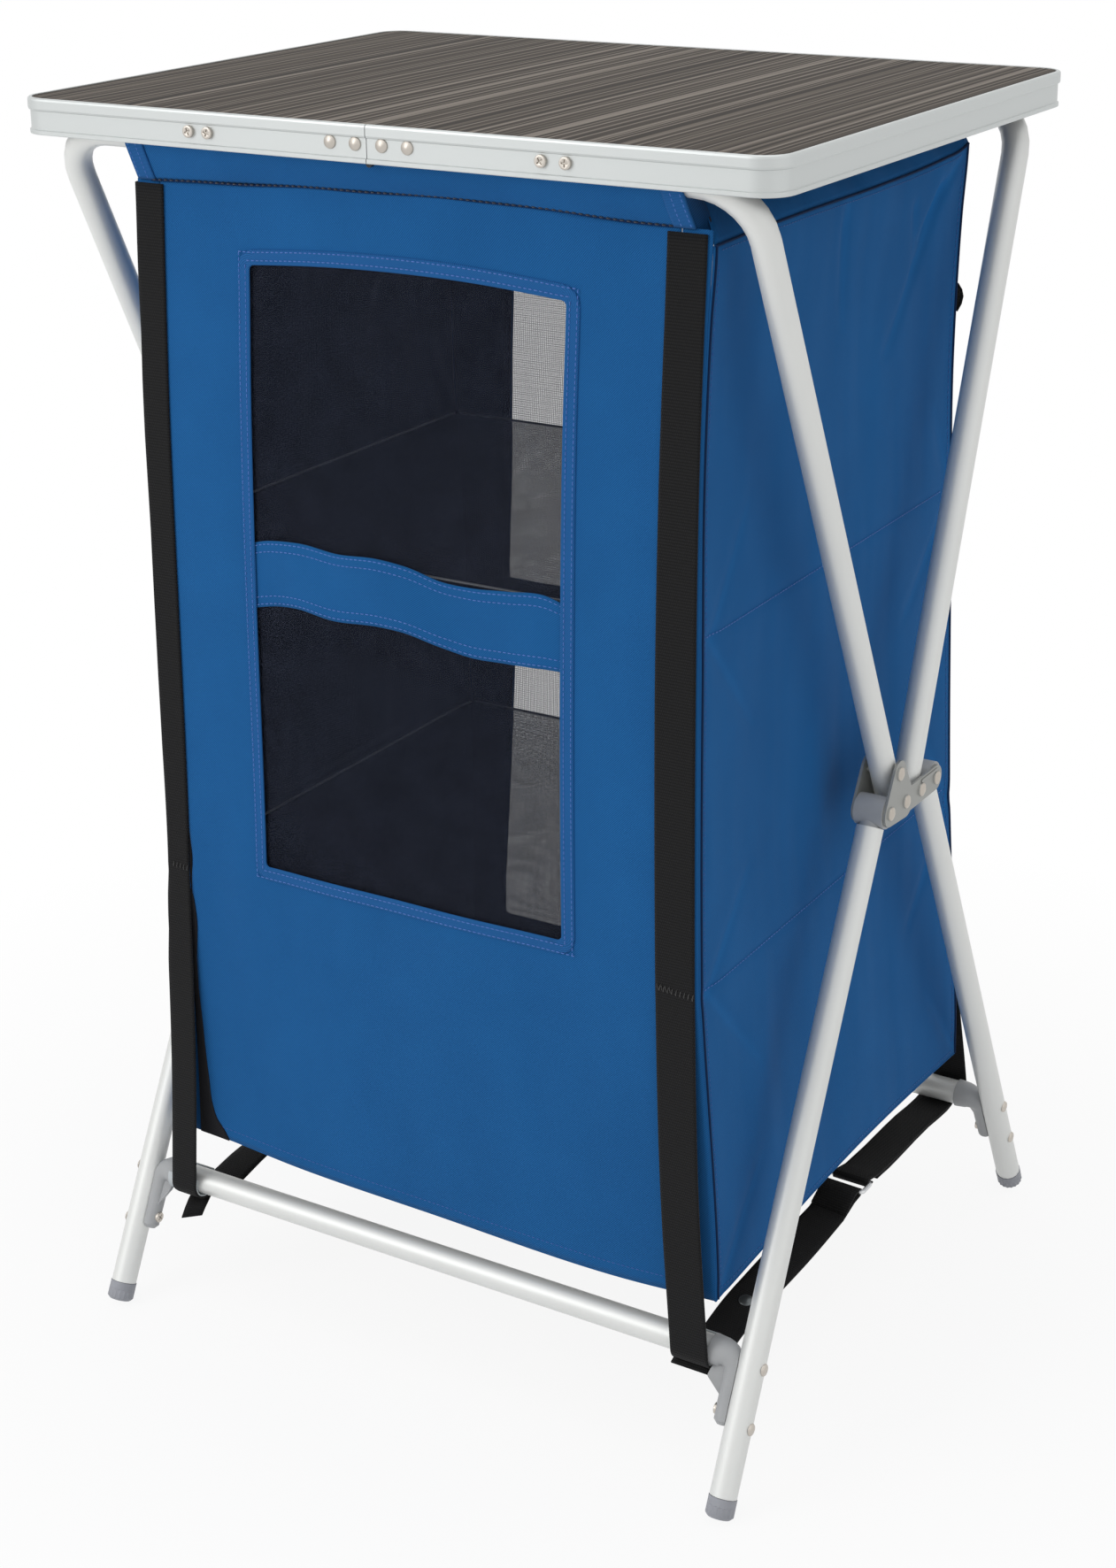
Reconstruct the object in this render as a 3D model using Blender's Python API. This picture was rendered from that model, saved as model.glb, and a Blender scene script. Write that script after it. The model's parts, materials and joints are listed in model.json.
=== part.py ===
"""Folding camping cupboard: a two-part tabletop on a crossed tube frame with a hanging fabric box.

The model is in metres. X runs along the front, -Y faces the front, +Z is up and the feet
stand on Z = 0. Run it in Blender 4.5, from the text editor or in the background.
"""

import math

import bmesh
import bpy
from mathutils import Matrix, Vector
from mathutils.geometry import convex_hull_2d

# Overall sizes
HEIGHT = 0.963
TOP_WIDTH = 0.600
TOP_DEPTH = 0.469
TOP_SHIFT = -0.0275
CLEARANCE = 0.0003

# Tabletop
CORNER_RADIUS = 0.022
PROFILE_HEIGHT = 0.0255
PROFILE_WALL = 0.0016
LIP_HEIGHT = 0.0085
LIP_PROUD = 0.0016
LOWER_LIP_HEIGHT = 0.0036
LOWER_LIP_PROUD = 0.0010
LEDGE_WIDTH = 0.0055
LEDGE_THICKNESS = 0.0010
PANEL_THICKNESS = 0.0085
PANEL_RECESS = 0.0004
PANEL_BOTTOM = HEIGHT - PANEL_RECESS - PANEL_THICKNESS
PROFILE_BOTTOM = HEIGHT - PROFILE_HEIGHT
WEB_INNER = LIP_PROUD + PROFILE_WALL
FOLD_AXIS_Z = PROFILE_BOTTOM - 0.0004

# Fold hinge of the tabletop
LEAF_THICKNESS = 0.0014
LEAF_LENGTH = 0.042
LEAF_TOP = PROFILE_BOTTOM + 0.0125
HINGE_PIN_RADIUS = 0.0011
HINGE_EYE_RADIUS = 0.0024
HINGE_JOG_START = 0.010
HINGE_JOG_END = 0.014

# Tubes
TUBE_RADIUS = 0.010
TUBE_WALL = 0.0012
TUBE_SIDES = 16
FRAME_X = 0.273
BEND_RADIUS = 0.040
BEND_STEPS = 7
BAR_INSET = 0.0185
BAR_RISE = 0.0035
BAR_Z = PROFILE_BOTTOM + BAR_RISE
FOOT_Y = 0.271
CROSS_Z = 0.103

# Hinge brackets
PIVOT_Z = 0.461
PIVOT_STEP = 0.027
FIXING_DISTANCE = 0.0286
TUBE_OVERRUN = 0.008
PLATE_GAP = 0.0115
PLATE_THICKNESS = 0.002
PLATE_LOBE_RADIUS = 0.0100
PLATE_HEEL_RADIUS = 0.0120
RIB_HEIGHT = 0.0006
RIB_RADIUS = 0.0011
RIVET_RADIUS = 0.0030
RIVET_HEAD_RADIUS = 0.0056
RIVET_HEAD_HEIGHT = 0.0024
BARREL_RADIUS = 0.0118
PLUG_LENGTH = 0.020

# Corner elbows and feet
ELBOW_START_X = 0.242
ELBOW_RADIUS = 0.0115
ELBOW_ARM_RADIUS = 0.0070
ELBOW_TIP_RADIUS = 0.0054
ELBOW_SADDLE = 0.0045
ELBOW_BEND = 0.010
ELBOW_LENGTH = 0.049
FOOT_RADIUS = TUBE_RADIUS + 0.0004
FOOT_LENGTH = 0.0145
FOOT_GRIP = 0.0085
FOOT_PLUG = 0.014
FOOT_SOLE_SCALE = 0.80
FOOT_RIBS = 18
FOOT_RIB_DEPTH = 0.0006

# Bar clips under the tabletop
CLIP_X = 0.142
CLIP_WIDTH = 0.026
CLIP_INNER = 0.01135
CLIP_OUTER = 0.0125
CLIP_LOW = math.radians(-13)
CLIP_HIGH = math.radians(74)

# Fabric box
CLOTH = 0.0007
BOX_X = 0.2365
BOX_FRONT = -0.2375
FRONT_TUCK = 0.018
TUCK_Z = 0.384
SEAM_DROP = 0.034
SEAM_Z = BAR_Z - SEAM_DROP
FLOOR_Z = 0.143
REAR_TOP = 0.160
REAR_BOTTOM = 0.2125
ROOF_X = 0.2175
WALL_TOP_X = 0.2198
ROOF_SAG = 0.010
DOOR_X = 0.214
DOOR_BOTTOM = 0.147
DOOR_RADIUS = 0.012
ZIP_GAP = 0.0006
WINDOW_X = 0.1315
WINDOW_DROP = 0.050
WINDOW_TOP = SEAM_Z - WINDOW_DROP
WINDOW_BOTTOM = 0.404
WINDOW_RADIUS = 0.006
WINDOW_OVERLAP = 0.008
BAND_TOP = 0.655
BAND_BOTTOM = 0.606
REAR_WINDOW_X = 0.168
REAR_WINDOW_RISE = 0.027
REAR_WINDOW_BOTTOM = FLOOR_Z + REAR_WINDOW_RISE
REAR_BAND_TOP = 0.510
REAR_BAND_BOTTOM = 0.461
LAYER_STEP = 0.0013
SHELF_HEIGHTS = (0.384, 0.638)
SHELF_THICKNESS = 0.0025
FLOOR_THICKNESS = 0.0025

# Webbing
WEBBING_WIDTH = 0.030
WEBBING = 0.0013
STRAP_TOP_X = 0.2165
STRAP_FOOT_X = 0.2262
STRAP_TAIL = 0.010
SPREADER_X = 0.2262
SPREADER_FRONT_END = -0.150
RING_Y = 0.040
RING_LENGTH = 0.016
RING_SIDE_GAP = 0.003
RING_WIRE = 0.0018


def clear_scene():
    for item in list(bpy.data.objects):
        bpy.data.objects.remove(item, do_unlink=True)


def make_material(name, colour, roughness, metallic=0.0):
    material = bpy.data.materials.new(name)
    material.use_nodes = True
    shader = material.node_tree.nodes["Principled BSDF"]
    shader.inputs["Base Color"].default_value = (*colour, 1.0)
    shader.inputs["Roughness"].default_value = roughness
    shader.inputs["Metallic"].default_value = metallic
    return material


def add_object(name, mesh, material, origin=(0, 0, 0), crease=35):
    """Adds the mesh, which is drawn in world places, with its origin at the given point."""
    mesh.transform(Matrix.Translation(-Vector(origin)))
    mesh.name = name
    mesh.materials.clear()
    mesh.materials.append(material)
    for face in mesh.polygons:
        face.use_smooth = True
    mesh.set_sharp_from_angle(angle=math.radians(crease))
    item = bpy.data.objects.new(name, mesh)
    item.location = origin
    bpy.context.scene.collection.objects.link(item)
    return item


def mirrored(mesh):
    twin = mesh.copy()
    twin.transform(Matrix.Scale(-1, 4, (1, 0, 0)))
    twin.flip_normals()
    return twin


def to_mesh(shape):
    bmesh.ops.recalc_face_normals(shape, faces=shape.faces[:])
    mesh = bpy.data.meshes.new("mesh")
    shape.to_mesh(mesh)
    shape.free()
    return mesh


def bridge(shape, first, second):
    count = len(first)
    for i in range(count):
        j = (i + 1) % count
        shape.faces.new((first[i], first[j], second[j], second[i]))


def skin(rings, inner_rings=None):
    """A closed mesh over a row of rings. Inner rings make it a pipe that is open at both ends."""
    shape = bmesh.new()
    loops = [[shape.verts.new(point) for point in ring] for ring in rings]
    for first, second in zip(loops, loops[1:]):
        bridge(shape, first, second)
    if inner_rings is None:
        shape.faces.new(loops[0])
        shape.faces.new(loops[-1])
        return to_mesh(shape)
    inner = [[shape.verts.new(point) for point in ring] for ring in inner_rings]
    for first, second in zip(inner, inner[1:]):
        bridge(shape, first, second)
    bridge(shape, loops[0], inner[0])
    bridge(shape, loops[-1], inner[-1])
    return to_mesh(shape)


def circle(radius, sides=TUBE_SIDES):
    turns = [2 * math.pi * i / sides for i in range(sides)]
    return [(radius * math.cos(turn), radius * math.sin(turn)) for turn in turns]


def rounded_path(corners, radius, steps):
    """The corner points joined by straight lines, with each inner corner turned into an arc."""
    path = [Vector(corners[0])]
    for before, corner, after in zip(corners, corners[1:], corners[2:]):
        here = Vector(corner)
        back = (Vector(before) - here).normalized()
        ahead = (Vector(after) - here).normalized()
        half = back.angle(ahead) / 2
        centre = here + (back + ahead).normalized() * (radius / math.sin(half))
        start = here + back * (radius / math.tan(half)) - centre
        end = here + ahead * (radius / math.tan(half)) - centre
        for i in range(steps + 1):
            path.append(centre + start.slerp(end, i / steps).normalized() * radius)
    path.append(Vector(corners[-1]))
    return path


def rings_along(path, across, section):
    """The section at each path point: its first number along across x tangent, its second along across."""
    across = Vector(across).normalized()
    rings = []
    for i, point in enumerate(path):
        back = (point - path[i - 1]).normalized() if i else (path[1] - point).normalized()
        ahead = (path[i + 1] - point).normalized() if i + 1 < len(path) else back
        tangent = (back + ahead).normalized()
        stretch = 1 / max(0.5, math.cos(back.angle(ahead, 0) / 2))
        side = across.cross(tangent).normalized() * stretch
        rings.append([point + side * a + across * b for a, b in section])
    return rings


def pipe(path, across, radius=TUBE_RADIUS, wall=TUBE_WALL):
    outer = rings_along(path, across, circle(radius))
    inner = rings_along(path, across, circle(radius - wall))
    return skin(outer, inner)


def cylinder(start, end, radius, sides=TUBE_SIDES):
    start, end = Vector(start), Vector(end)
    across = (end - start).orthogonal()
    return skin(rings_along([start, end], across, circle(radius, sides)))


def prism(outline, low, high):
    """An outline in the plane of Y and Z, drawn out along X from low to high."""
    rings = [[Vector((x, y, z)) for y, z in outline] for x in (low, high)]
    return skin(rings)


def joined(meshes):
    shape = bmesh.new()
    for mesh in meshes:
        shape.from_mesh(mesh)
    mesh = bpy.data.meshes.new("joined")
    shape.to_mesh(mesh)
    shape.free()
    return mesh


def add_boolean(item, mesh, operation):
    """Joins the mesh to the object, or cuts it away. The mesh is drawn in world places."""
    tool = bpy.data.objects.new(item.name + "_" + operation.lower(), mesh)
    tool.hide_render = True
    tool.display_type = "WIRE"
    bpy.context.scene.collection.objects.link(tool)
    modifier = item.modifiers.new(operation.title(), "BOOLEAN")
    modifier.operation = operation
    modifier.solver = "EXACT"
    modifier.object = tool


def add_sheet(name, columns, rows, surface, material, thickness=CLOTH, origin=(0, 0, 0)):
    """A sheet of cloth: a grid laid on surface(u, v), then thickened evenly both ways."""
    shape = bmesh.new()
    bmesh.ops.create_grid(shape, x_segments=columns, y_segments=rows, size=0.5)
    for vertex in shape.verts:
        vertex.co = Vector(surface(vertex.co.x + 0.5, vertex.co.y + 0.5))
    mesh = bpy.data.meshes.new(name)
    shape.to_mesh(mesh)
    shape.free()
    item = add_object(name, mesh, material, origin, crease=60)
    thicken = item.modifiers.new("Solidify", "SOLIDIFY")
    thicken.thickness = thickness
    thicken.offset = 0
    thicken.use_even_offset = True
    return item


def pivot(step):
    """A point on the bracket's row of rivets, counted in rivet steps from the frame's middle."""
    return Vector((0, step * PIVOT_STEP, PIVOT_Z))


# The four tubes turn on, or are fixed at, one rivet each
FRONT_LOWER = pivot(-1.5)
FRONT_UPPER = pivot(-0.5)
REAR_UPPER = pivot(0.5)
REAR_LOWER = pivot(1.5)
FRONT_BAR = Vector((0, TOP_SHIFT - TOP_DEPTH / 2 + BAR_INSET, BAR_Z))
REAR_BAR = Vector((0, TOP_SHIFT + TOP_DEPTH / 2 - BAR_INSET, BAR_Z))
FRONT_FOOT = Vector((0, -FOOT_Y, 0))
REAR_FOOT = Vector((0, FOOT_Y, 0))
FIXING = FRONT_UPPER + (FRONT_BAR - FRONT_UPPER).normalized() * FIXING_DISTANCE
SIDE = Vector((1, 0, 0))


def at_x(point, x):
    return Vector((x, point.y, point.z))


def rivet_pin(point, radius, side_x=FRAME_X, reach=PLATE_GAP * 1.5):
    return cylinder(at_x(point, side_x - reach), at_x(point, side_x + reach), radius)


def upper_tube(name, foot, bar, holes, material):
    """An upside-down U: the bar under the tabletop and two arms down to the brackets."""
    arm = (foot - bar).normalized()
    end = foot + arm * TUBE_OVERRUN
    corners = [at_x(end, FRAME_X), at_x(bar, FRAME_X), at_x(bar, -FRAME_X), at_x(end, -FRAME_X)]
    path = rounded_path(corners, BEND_RADIUS, BEND_STEPS)
    item = add_object(name, pipe(path, SIDE.cross(arm)), material, origin=foot)
    cuts = [rivet_pin(hole, RIVET_RADIUS + CLEARANCE, x) for hole in holes for x in (FRAME_X, -FRAME_X)]
    add_boolean(item, joined(cuts), "DIFFERENCE")
    return item


def hull_outline(circles):
    """The outline round circles, each given as a point and a radius, in the plane of Y and Z."""
    points = []
    for centre, radius in circles:
        points += [(centre.y + a, centre.z + b) for a, b in circle(radius, 24)]
    return [points[i] for i in convex_hull_2d(points)]


def rivet_row():
    return [FIXING, FRONT_LOWER, FRONT_UPPER, REAR_UPPER, REAR_LOWER]


def plate_parts(inner_x, outer_x):
    """The bracket's lobe round the fixed tube, and its arm along the row of pivots."""
    lobe = [(FIXING, PLATE_LOBE_RADIUS), (FRONT_LOWER, PLATE_LOBE_RADIUS), (FRONT_UPPER, PLATE_HEEL_RADIUS)]
    arm = [(FRONT_LOWER, PLATE_LOBE_RADIUS - 0.0004), (REAR_LOWER, PLATE_LOBE_RADIUS - 0.0004)]
    first = prism(hull_outline(lobe), inner_x, outer_x)
    second = prism(hull_outline(arm), inner_x + 0.0001, outer_x - 0.0001)
    return first, second


def rib(face_x):
    """The pressed ridge along the arm's upper edge, between its last two rivets."""
    rise = Vector((0, 0, PLATE_LOBE_RADIUS - 3 * RIB_RADIUS))
    ends = [(REAR_UPPER + rise, RIB_RADIUS), (REAR_LOWER + rise, RIB_RADIUS)]
    return prism(hull_outline(ends), face_x - 0.0005, face_x + RIB_HEIGHT)


def rivet(point):
    """A rivet through both plates, with a domed head at each end."""
    reach = PLATE_GAP + PLATE_THICKNESS
    profile = [(-reach - RIVET_HEAD_HEIGHT, 0.45 * RIVET_HEAD_RADIUS)]
    profile.append((-reach - 0.55 * RIVET_HEAD_HEIGHT, 0.86 * RIVET_HEAD_RADIUS))
    profile.append((-reach - CLEARANCE, RIVET_HEAD_RADIUS))
    profile.append((-reach - CLEARANCE, RIVET_RADIUS))
    profile.append((reach - 0.0005, RIVET_RADIUS))
    profile.append((reach - 0.0005, RIVET_HEAD_RADIUS))
    profile.append((reach + 0.55 * RIVET_HEAD_HEIGHT, 0.86 * RIVET_HEAD_RADIUS))
    profile.append((reach + RIVET_HEAD_HEIGHT, 0.45 * RIVET_HEAD_RADIUS))
    rings = []
    for x, radius in profile:
        ring = [Vector((FRAME_X + x, point.y + a, point.z + b)) for a, b in circle(radius, 14)]
        rings.append(ring)
    return skin(rings)


def add_brackets(material):
    """Two plates a side. The outer one carries the rivets, which run through the tubes between them."""
    inner_face = FRAME_X + PLATE_GAP
    outer, arm = plate_parts(inner_face, inner_face + PLATE_THICKNESS)
    rivets = joined([rivet(point) for point in rivet_row()] + [rib(inner_face + PLATE_THICKNESS)])
    inner, inner_arm = plate_parts(FRAME_X - PLATE_GAP - PLATE_THICKNESS, FRAME_X - PLATE_GAP)
    holes = joined([rivet_pin(point, RIVET_RADIUS + CLEARANCE) for point in rivet_row()])
    for suffix, turned in (("R", False), ("L", True)):
        meshes = [outer, arm, rivets, inner, inner_arm, holes]
        meshes = [mirrored(mesh) if turned else mesh.copy() for mesh in meshes]
        plate = add_object("bracket_outer_" + suffix, meshes[0], material)
        add_boolean(plate, meshes[1], "UNION")
        add_boolean(plate, meshes[2], "UNION")
        plate = add_object("bracket_inner_" + suffix, meshes[3], material)
        add_boolean(plate, meshes[4], "UNION")
        add_boolean(plate, meshes[5], "DIFFERENCE")


def barrel(axis_point, foot):
    """The plastic fitting on a pivot rivet: a drum with a plug that fills the top of the leg."""
    down = (foot - axis_point).normalized()
    half = PLATE_GAP - CLEARANCE
    drum = cylinder(at_x(axis_point, FRAME_X - half), at_x(axis_point, FRAME_X + half), BARREL_RADIUS, 20)
    plug_end = axis_point + down * (BARREL_RADIUS + PLUG_LENGTH)
    plug_radius = TUBE_RADIUS - TUBE_WALL - CLEARANCE
    plug = cylinder(at_x(axis_point + down * 0.005, FRAME_X), at_x(plug_end, FRAME_X), plug_radius)
    return drum, plug


def leg(axis_point, foot):
    down = (foot - axis_point).normalized()
    start = axis_point + down * (BARREL_RADIUS + CLEARANCE)
    end = sole_centre(foot, down) - down * (FOOT_LENGTH + CLEARANCE)
    return pipe([at_x(start, FRAME_X), at_x(end, FRAME_X)], SIDE)


def sole_centre(foot, down):
    """The middle of the sole, which is square to the leg, so it touches the ground at one edge."""
    return foot - down * (FOOT_SOLE_SCALE * FOOT_RADIUS * abs(down.y / down.z))


def foot_cap(axis_point, foot):
    """A cap in the leg's end: a plug inside the tube, a plain collar, a ribbed grip and a rounded sole."""
    down = (foot - axis_point).normalized()
    side = SIDE.cross(down)
    sole = sole_centre(foot, down)
    profile = [(0.0, FOOT_SOLE_SCALE, 0), (0.0020, 1.0, 1), (FOOT_GRIP, 1.0, 1)]
    profile += [(FOOT_GRIP + 0.0005, 1.0, 0), (FOOT_LENGTH, 1.0, 0)]
    rings = []
    for back, scale, ribbed in profile:
        centre = at_x(sole - down * back, FRAME_X)
        ring = []
        for i in range(2 * FOOT_RIBS):
            turn = math.pi * i / FOOT_RIBS
            radius = scale * FOOT_RADIUS - (FOOT_RIB_DEPTH if ribbed and i % 2 else 0)
            ring.append(centre + SIDE * (radius * math.cos(turn)) + side * (radius * math.sin(turn)))
        rings.append(ring)
    plug_radius = TUBE_RADIUS - TUBE_WALL - CLEARANCE
    plug_start = at_x(sole - down * (FOOT_LENGTH - 0.003), FRAME_X)
    plug = cylinder(plug_start, at_x(sole - down * (FOOT_LENGTH + FOOT_PLUG), FRAME_X), plug_radius)
    return skin(rings), plug


def elbow(axis_point, foot):
    """The moulded corner: it takes the cross tube's end, turns down, and hugs the leg in a saddle."""
    down = (foot - axis_point).normalized()
    level = (axis_point.z - CROSS_Z) / -down.z
    centre = axis_point + down * level
    arm_x = FRAME_X - TUBE_RADIUS - CLEARANCE - ELBOW_ARM_RADIUS + ELBOW_SADDLE
    corners = [at_x(centre, ELBOW_START_X), at_x(centre, arm_x), at_x(centre + down * ELBOW_LENGTH, arm_x)]
    path = rounded_path(corners, ELBOW_BEND, 6)
    path.insert(1, path[0] + SIDE * 0.0012)
    path.insert(-1, path[-1] - down * 0.003)
    total = len(path)
    across = SIDE.cross(down)
    rings = []
    for i, ring in enumerate(rings_along(path, across, circle(1.0))):
        if i < 2:
            radius = ELBOW_RADIUS
        elif i < total - 2:
            radius = ELBOW_RADIUS + (ELBOW_ARM_RADIUS - ELBOW_RADIUS) * (i - 1) / (total - 4)
        elif i == total - 2:
            radius = ELBOW_TIP_RADIUS + 0.0012
        else:
            radius = ELBOW_TIP_RADIUS * 0.7
        rings.append([path[i] + (point - path[i]) * radius for point in ring])
    leg_room = cylinder(at_x(axis_point, FRAME_X), at_x(foot, FRAME_X), TUBE_RADIUS + CLEARANCE, 32)
    return skin(rings), leg_room


def cross_tube(axis_point, foot):
    down = (foot - axis_point).normalized()
    centre = axis_point + down * ((axis_point.z - CROSS_Z) / -down.z)
    reach = ELBOW_START_X - CLEARANCE
    return pipe([at_x(centre, -reach), at_x(centre, reach)], (0, 0, 1))


def add_lower_frame(prefix, axis_point, foot, materials):
    """One lower frame: two legs with their fittings, feet and elbows, and the tube across."""
    metal, plastic, rubber = materials
    drum, plug = barrel(axis_point, foot)
    pin_hole = rivet_pin(axis_point, RIVET_RADIUS + CLEARANCE)
    right = [leg(axis_point, foot), drum, plug, pin_hole]
    right += [*foot_cap(axis_point, foot), *elbow(axis_point, foot)]
    for suffix, turned in (("R", False), ("L", True)):
        meshes = [mirrored(mesh) if turned else mesh.copy() for mesh in right]
        add_object(prefix + "_leg_" + suffix, meshes[0], metal, axis_point)
        fitting = add_object(prefix + "_barrel_" + suffix, meshes[1], plastic, axis_point)
        add_boolean(fitting, meshes[2], "UNION")
        add_boolean(fitting, meshes[3], "DIFFERENCE")
        shoe = add_object(prefix + "_foot_" + suffix, meshes[4], rubber, axis_point)
        add_boolean(shoe, meshes[5], "UNION")
        corner = add_object(prefix + "_elbow_" + suffix, meshes[6], plastic, axis_point, crease=50)
        add_boolean(corner, meshes[7], "DIFFERENCE")
    add_object(prefix + "_cross_tube", cross_tube(axis_point, foot), metal, axis_point)


def half_corners(inset, gap):
    """The left half's corners, from the seam at the front round to the seam at the back."""
    front = TOP_SHIFT - TOP_DEPTH / 2 + inset
    back = TOP_SHIFT + TOP_DEPTH / 2 - inset
    left = -TOP_WIDTH / 2 + inset
    return [(-gap, front, 0), (left, front, 0), (left, back, 0), (-gap, back, 0)]


def profile_section():
    """The edge profile: a rounded lip, a web set back below it, a small lower lip and a ledge."""
    top, bottom = HEIGHT, PROFILE_BOTTOM
    lip = top - LIP_HEIGHT
    ledge = PANEL_BOTTOM - CLEARANCE
    web_out, low_out = LIP_PROUD, LIP_PROUD - LOWER_LIP_PROUD
    points = [(WEB_INNER, top), (0.0012, top), (0.0004, top - 0.0006), (0.0, top - 0.0018)]
    points += [(0.0, lip + 0.0012), (0.0005, lip), (web_out, lip - 0.0005)]
    points += [(web_out, bottom + LOWER_LIP_HEIGHT), (low_out, bottom + LOWER_LIP_HEIGHT - 0.0006)]
    points += [(low_out, bottom + 0.0005), (low_out + 0.0004, bottom), (WEB_INNER, bottom)]
    points += [(WEB_INNER, ledge - LEDGE_THICKNESS), (WEB_INNER + LEDGE_WIDTH, ledge - LEDGE_THICKNESS)]
    points += [(WEB_INNER + LEDGE_WIDTH, ledge), (WEB_INNER, ledge)]
    return [(-inward, z) for inward, z in points]


def tabletop_half():
    """The left half's edge profile and its board."""
    path = rounded_path(half_corners(0.0, CLEARANCE), CORNER_RADIUS, 7)
    profile = skin(rings_along(path, (0, 0, 1), profile_section()))
    inset = WEB_INNER + CLEARANCE
    outline = rounded_path(half_corners(inset, CLEARANCE), CORNER_RADIUS - inset, 7)
    low = [Vector((p.x, p.y, PANEL_BOTTOM)) for p in outline]
    high = [Vector((p.x, p.y, HEIGHT - PANEL_RECESS)) for p in outline]
    return profile, skin([low, high])


def add_tabletop(aluminium, laminate):
    profile, board = tabletop_half()
    add_object("edge_profile_L", profile.copy(), aluminium)
    add_object("top_board_L", board.copy(), laminate)
    fold = (0, TOP_SHIFT, FOLD_AXIS_Z)
    add_object("edge_profile_R", mirrored(profile), aluminium, fold)
    add_object("top_board_R", mirrored(board), laminate, fold)


def leaf_outline(jogged):
    """A hinge leaf seen from above, right of the seam: distance from the seam, depth behind the edge."""
    near = WEB_INNER + CLEARANCE
    far = near + LEAF_THICKNESS
    if not jogged:
        return [(-HINGE_EYE_RADIUS, near), (LEAF_LENGTH, near), (LEAF_LENGTH, far), (-HINGE_EYE_RADIUS, far)]
    low, high = far + CLEARANCE, far + CLEARANCE + LEAF_THICKNESS
    points = [(-HINGE_EYE_RADIUS, low), (HINGE_JOG_START, low), (HINGE_JOG_START, near), (LEAF_LENGTH, near)]
    return points + [(LEAF_LENGTH, far), (HINGE_JOG_END, far), (HINGE_JOG_END, high), (-HINGE_EYE_RADIUS, high)]


def leaf_mesh(jogged, facing):
    """A leaf behind the front edge (facing 1) or the rear edge (facing -1)."""
    edge = TOP_SHIFT - facing * TOP_DEPTH / 2
    outline = [(x, edge + facing * depth) for x, depth in leaf_outline(jogged)]
    return skin([[Vector((x, y, z)) for x, y in outline] for z in (PROFILE_BOTTOM, LEAF_TOP)])


def on_fold_axis(facing, near, far, radius):
    """A round bar on the fold axis, between two depths behind the edge."""
    edge = TOP_SHIFT - facing * TOP_DEPTH / 2
    start = Vector((0, edge + facing * near, FOLD_AXIS_Z))
    return cylinder(start, Vector((0, edge + facing * far, FOLD_AXIS_Z)), radius, 16)


def hinge_pin(facing, radius):
    near = WEB_INNER + CLEARANCE + 0.0002
    return on_fold_axis(facing, near, near + 2 * LEAF_THICKNESS + 0.0006, radius)


def hinge_eye(jogged, facing):
    """The round end of a leaf, which is all of it that reaches below the profile."""
    near = WEB_INNER + CLEARANCE + (LEAF_THICKNESS + CLEARANCE if jogged else 0)
    return on_fold_axis(facing, near + 0.00005, near + LEAF_THICKNESS - 0.00005, HINGE_EYE_RADIUS)


def add_fold_hinges(steel):
    """Two flat leaves behind each seam, pinned under the profile's edge."""
    fold = (0, TOP_SHIFT, FOLD_AXIS_Z)
    for place, facing in (("front", 1), ("rear", -1)):
        fixed = add_object("fold_leaf_" + place + "_L", mirrored(leaf_mesh(False, facing)), steel)
        add_boolean(fixed, hinge_eye(False, facing), "UNION")
        add_boolean(fixed, hinge_pin(facing, HINGE_PIN_RADIUS), "UNION")
        moving = add_object("fold_leaf_" + place + "_R", leaf_mesh(True, facing), steel, fold)
        add_boolean(moving, hinge_eye(True, facing), "UNION")
        add_boolean(moving, hinge_pin(facing, HINGE_PIN_RADIUS + CLEARANCE), "DIFFERENCE")


def clip_outline(facing):
    """A hook over the bar's outer side, which grips a little under it, with a pad on the edge profile."""
    bar = FRONT_BAR if facing > 0 else REAR_BAR
    pad = BAR_INSET - WEB_INNER - CLEARANCE
    turns = [CLIP_LOW + (CLIP_HIGH - CLIP_LOW) * i / 12 for i in range(13)]
    points = [(CLIP_INNER * math.cos(turn), CLIP_INNER * math.sin(turn)) for turn in turns]
    for turn in reversed(turns):
        reach = CLIP_OUTER
        if math.cos(turn) > 0.90:
            reach = pad / math.cos(turn)
        points.append((reach * math.cos(turn), reach * math.sin(turn)))
    return [(bar.y - facing * a, bar.z + b) for a, b in points]


def add_clips(plastic):
    fold = (0, TOP_SHIFT, FOLD_AXIS_Z)
    for place, facing in (("front", 1), ("rear", -1)):
        outline = clip_outline(facing)
        mesh = prism(outline, CLIP_X - CLIP_WIDTH / 2, CLIP_X + CLIP_WIDTH / 2)
        add_object("bar_clip_" + place + "_L", mirrored(mesh), plastic)
        add_object("bar_clip_" + place + "_R", mesh, plastic, fold)


def smooth_step(value):
    value = min(1.0, max(0.0, value))
    return value * value * (3 - 2 * value)


def front_y(z):
    """The front hangs straight down from its seam, then tucks in towards the box's floor."""
    return BOX_FRONT + FRONT_TUCK * max(0.0, TUCK_Z - z) / (TUCK_Z - FLOOR_Z)


def rear_y(z):
    """The rear panel leans back from its top seam to the box's floor."""
    share = (SEAM_Z - z) / (SEAM_Z - FLOOR_Z)
    return REAR_TOP + (REAR_BOTTOM - REAR_TOP) * share


def bay_ease(z):
    """1 in the middle of each bay, 0 where the cloth is sewn to a shelf, the floor or the seam."""
    levels = (FLOOR_Z, *SHELF_HEIGHTS, SEAM_Z)
    for low, high in zip(levels, levels[1:]):
        if low <= z <= high:
            return math.sin(math.pi * (z - low) / (high - low)) ** 2
    return 0.0


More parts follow.
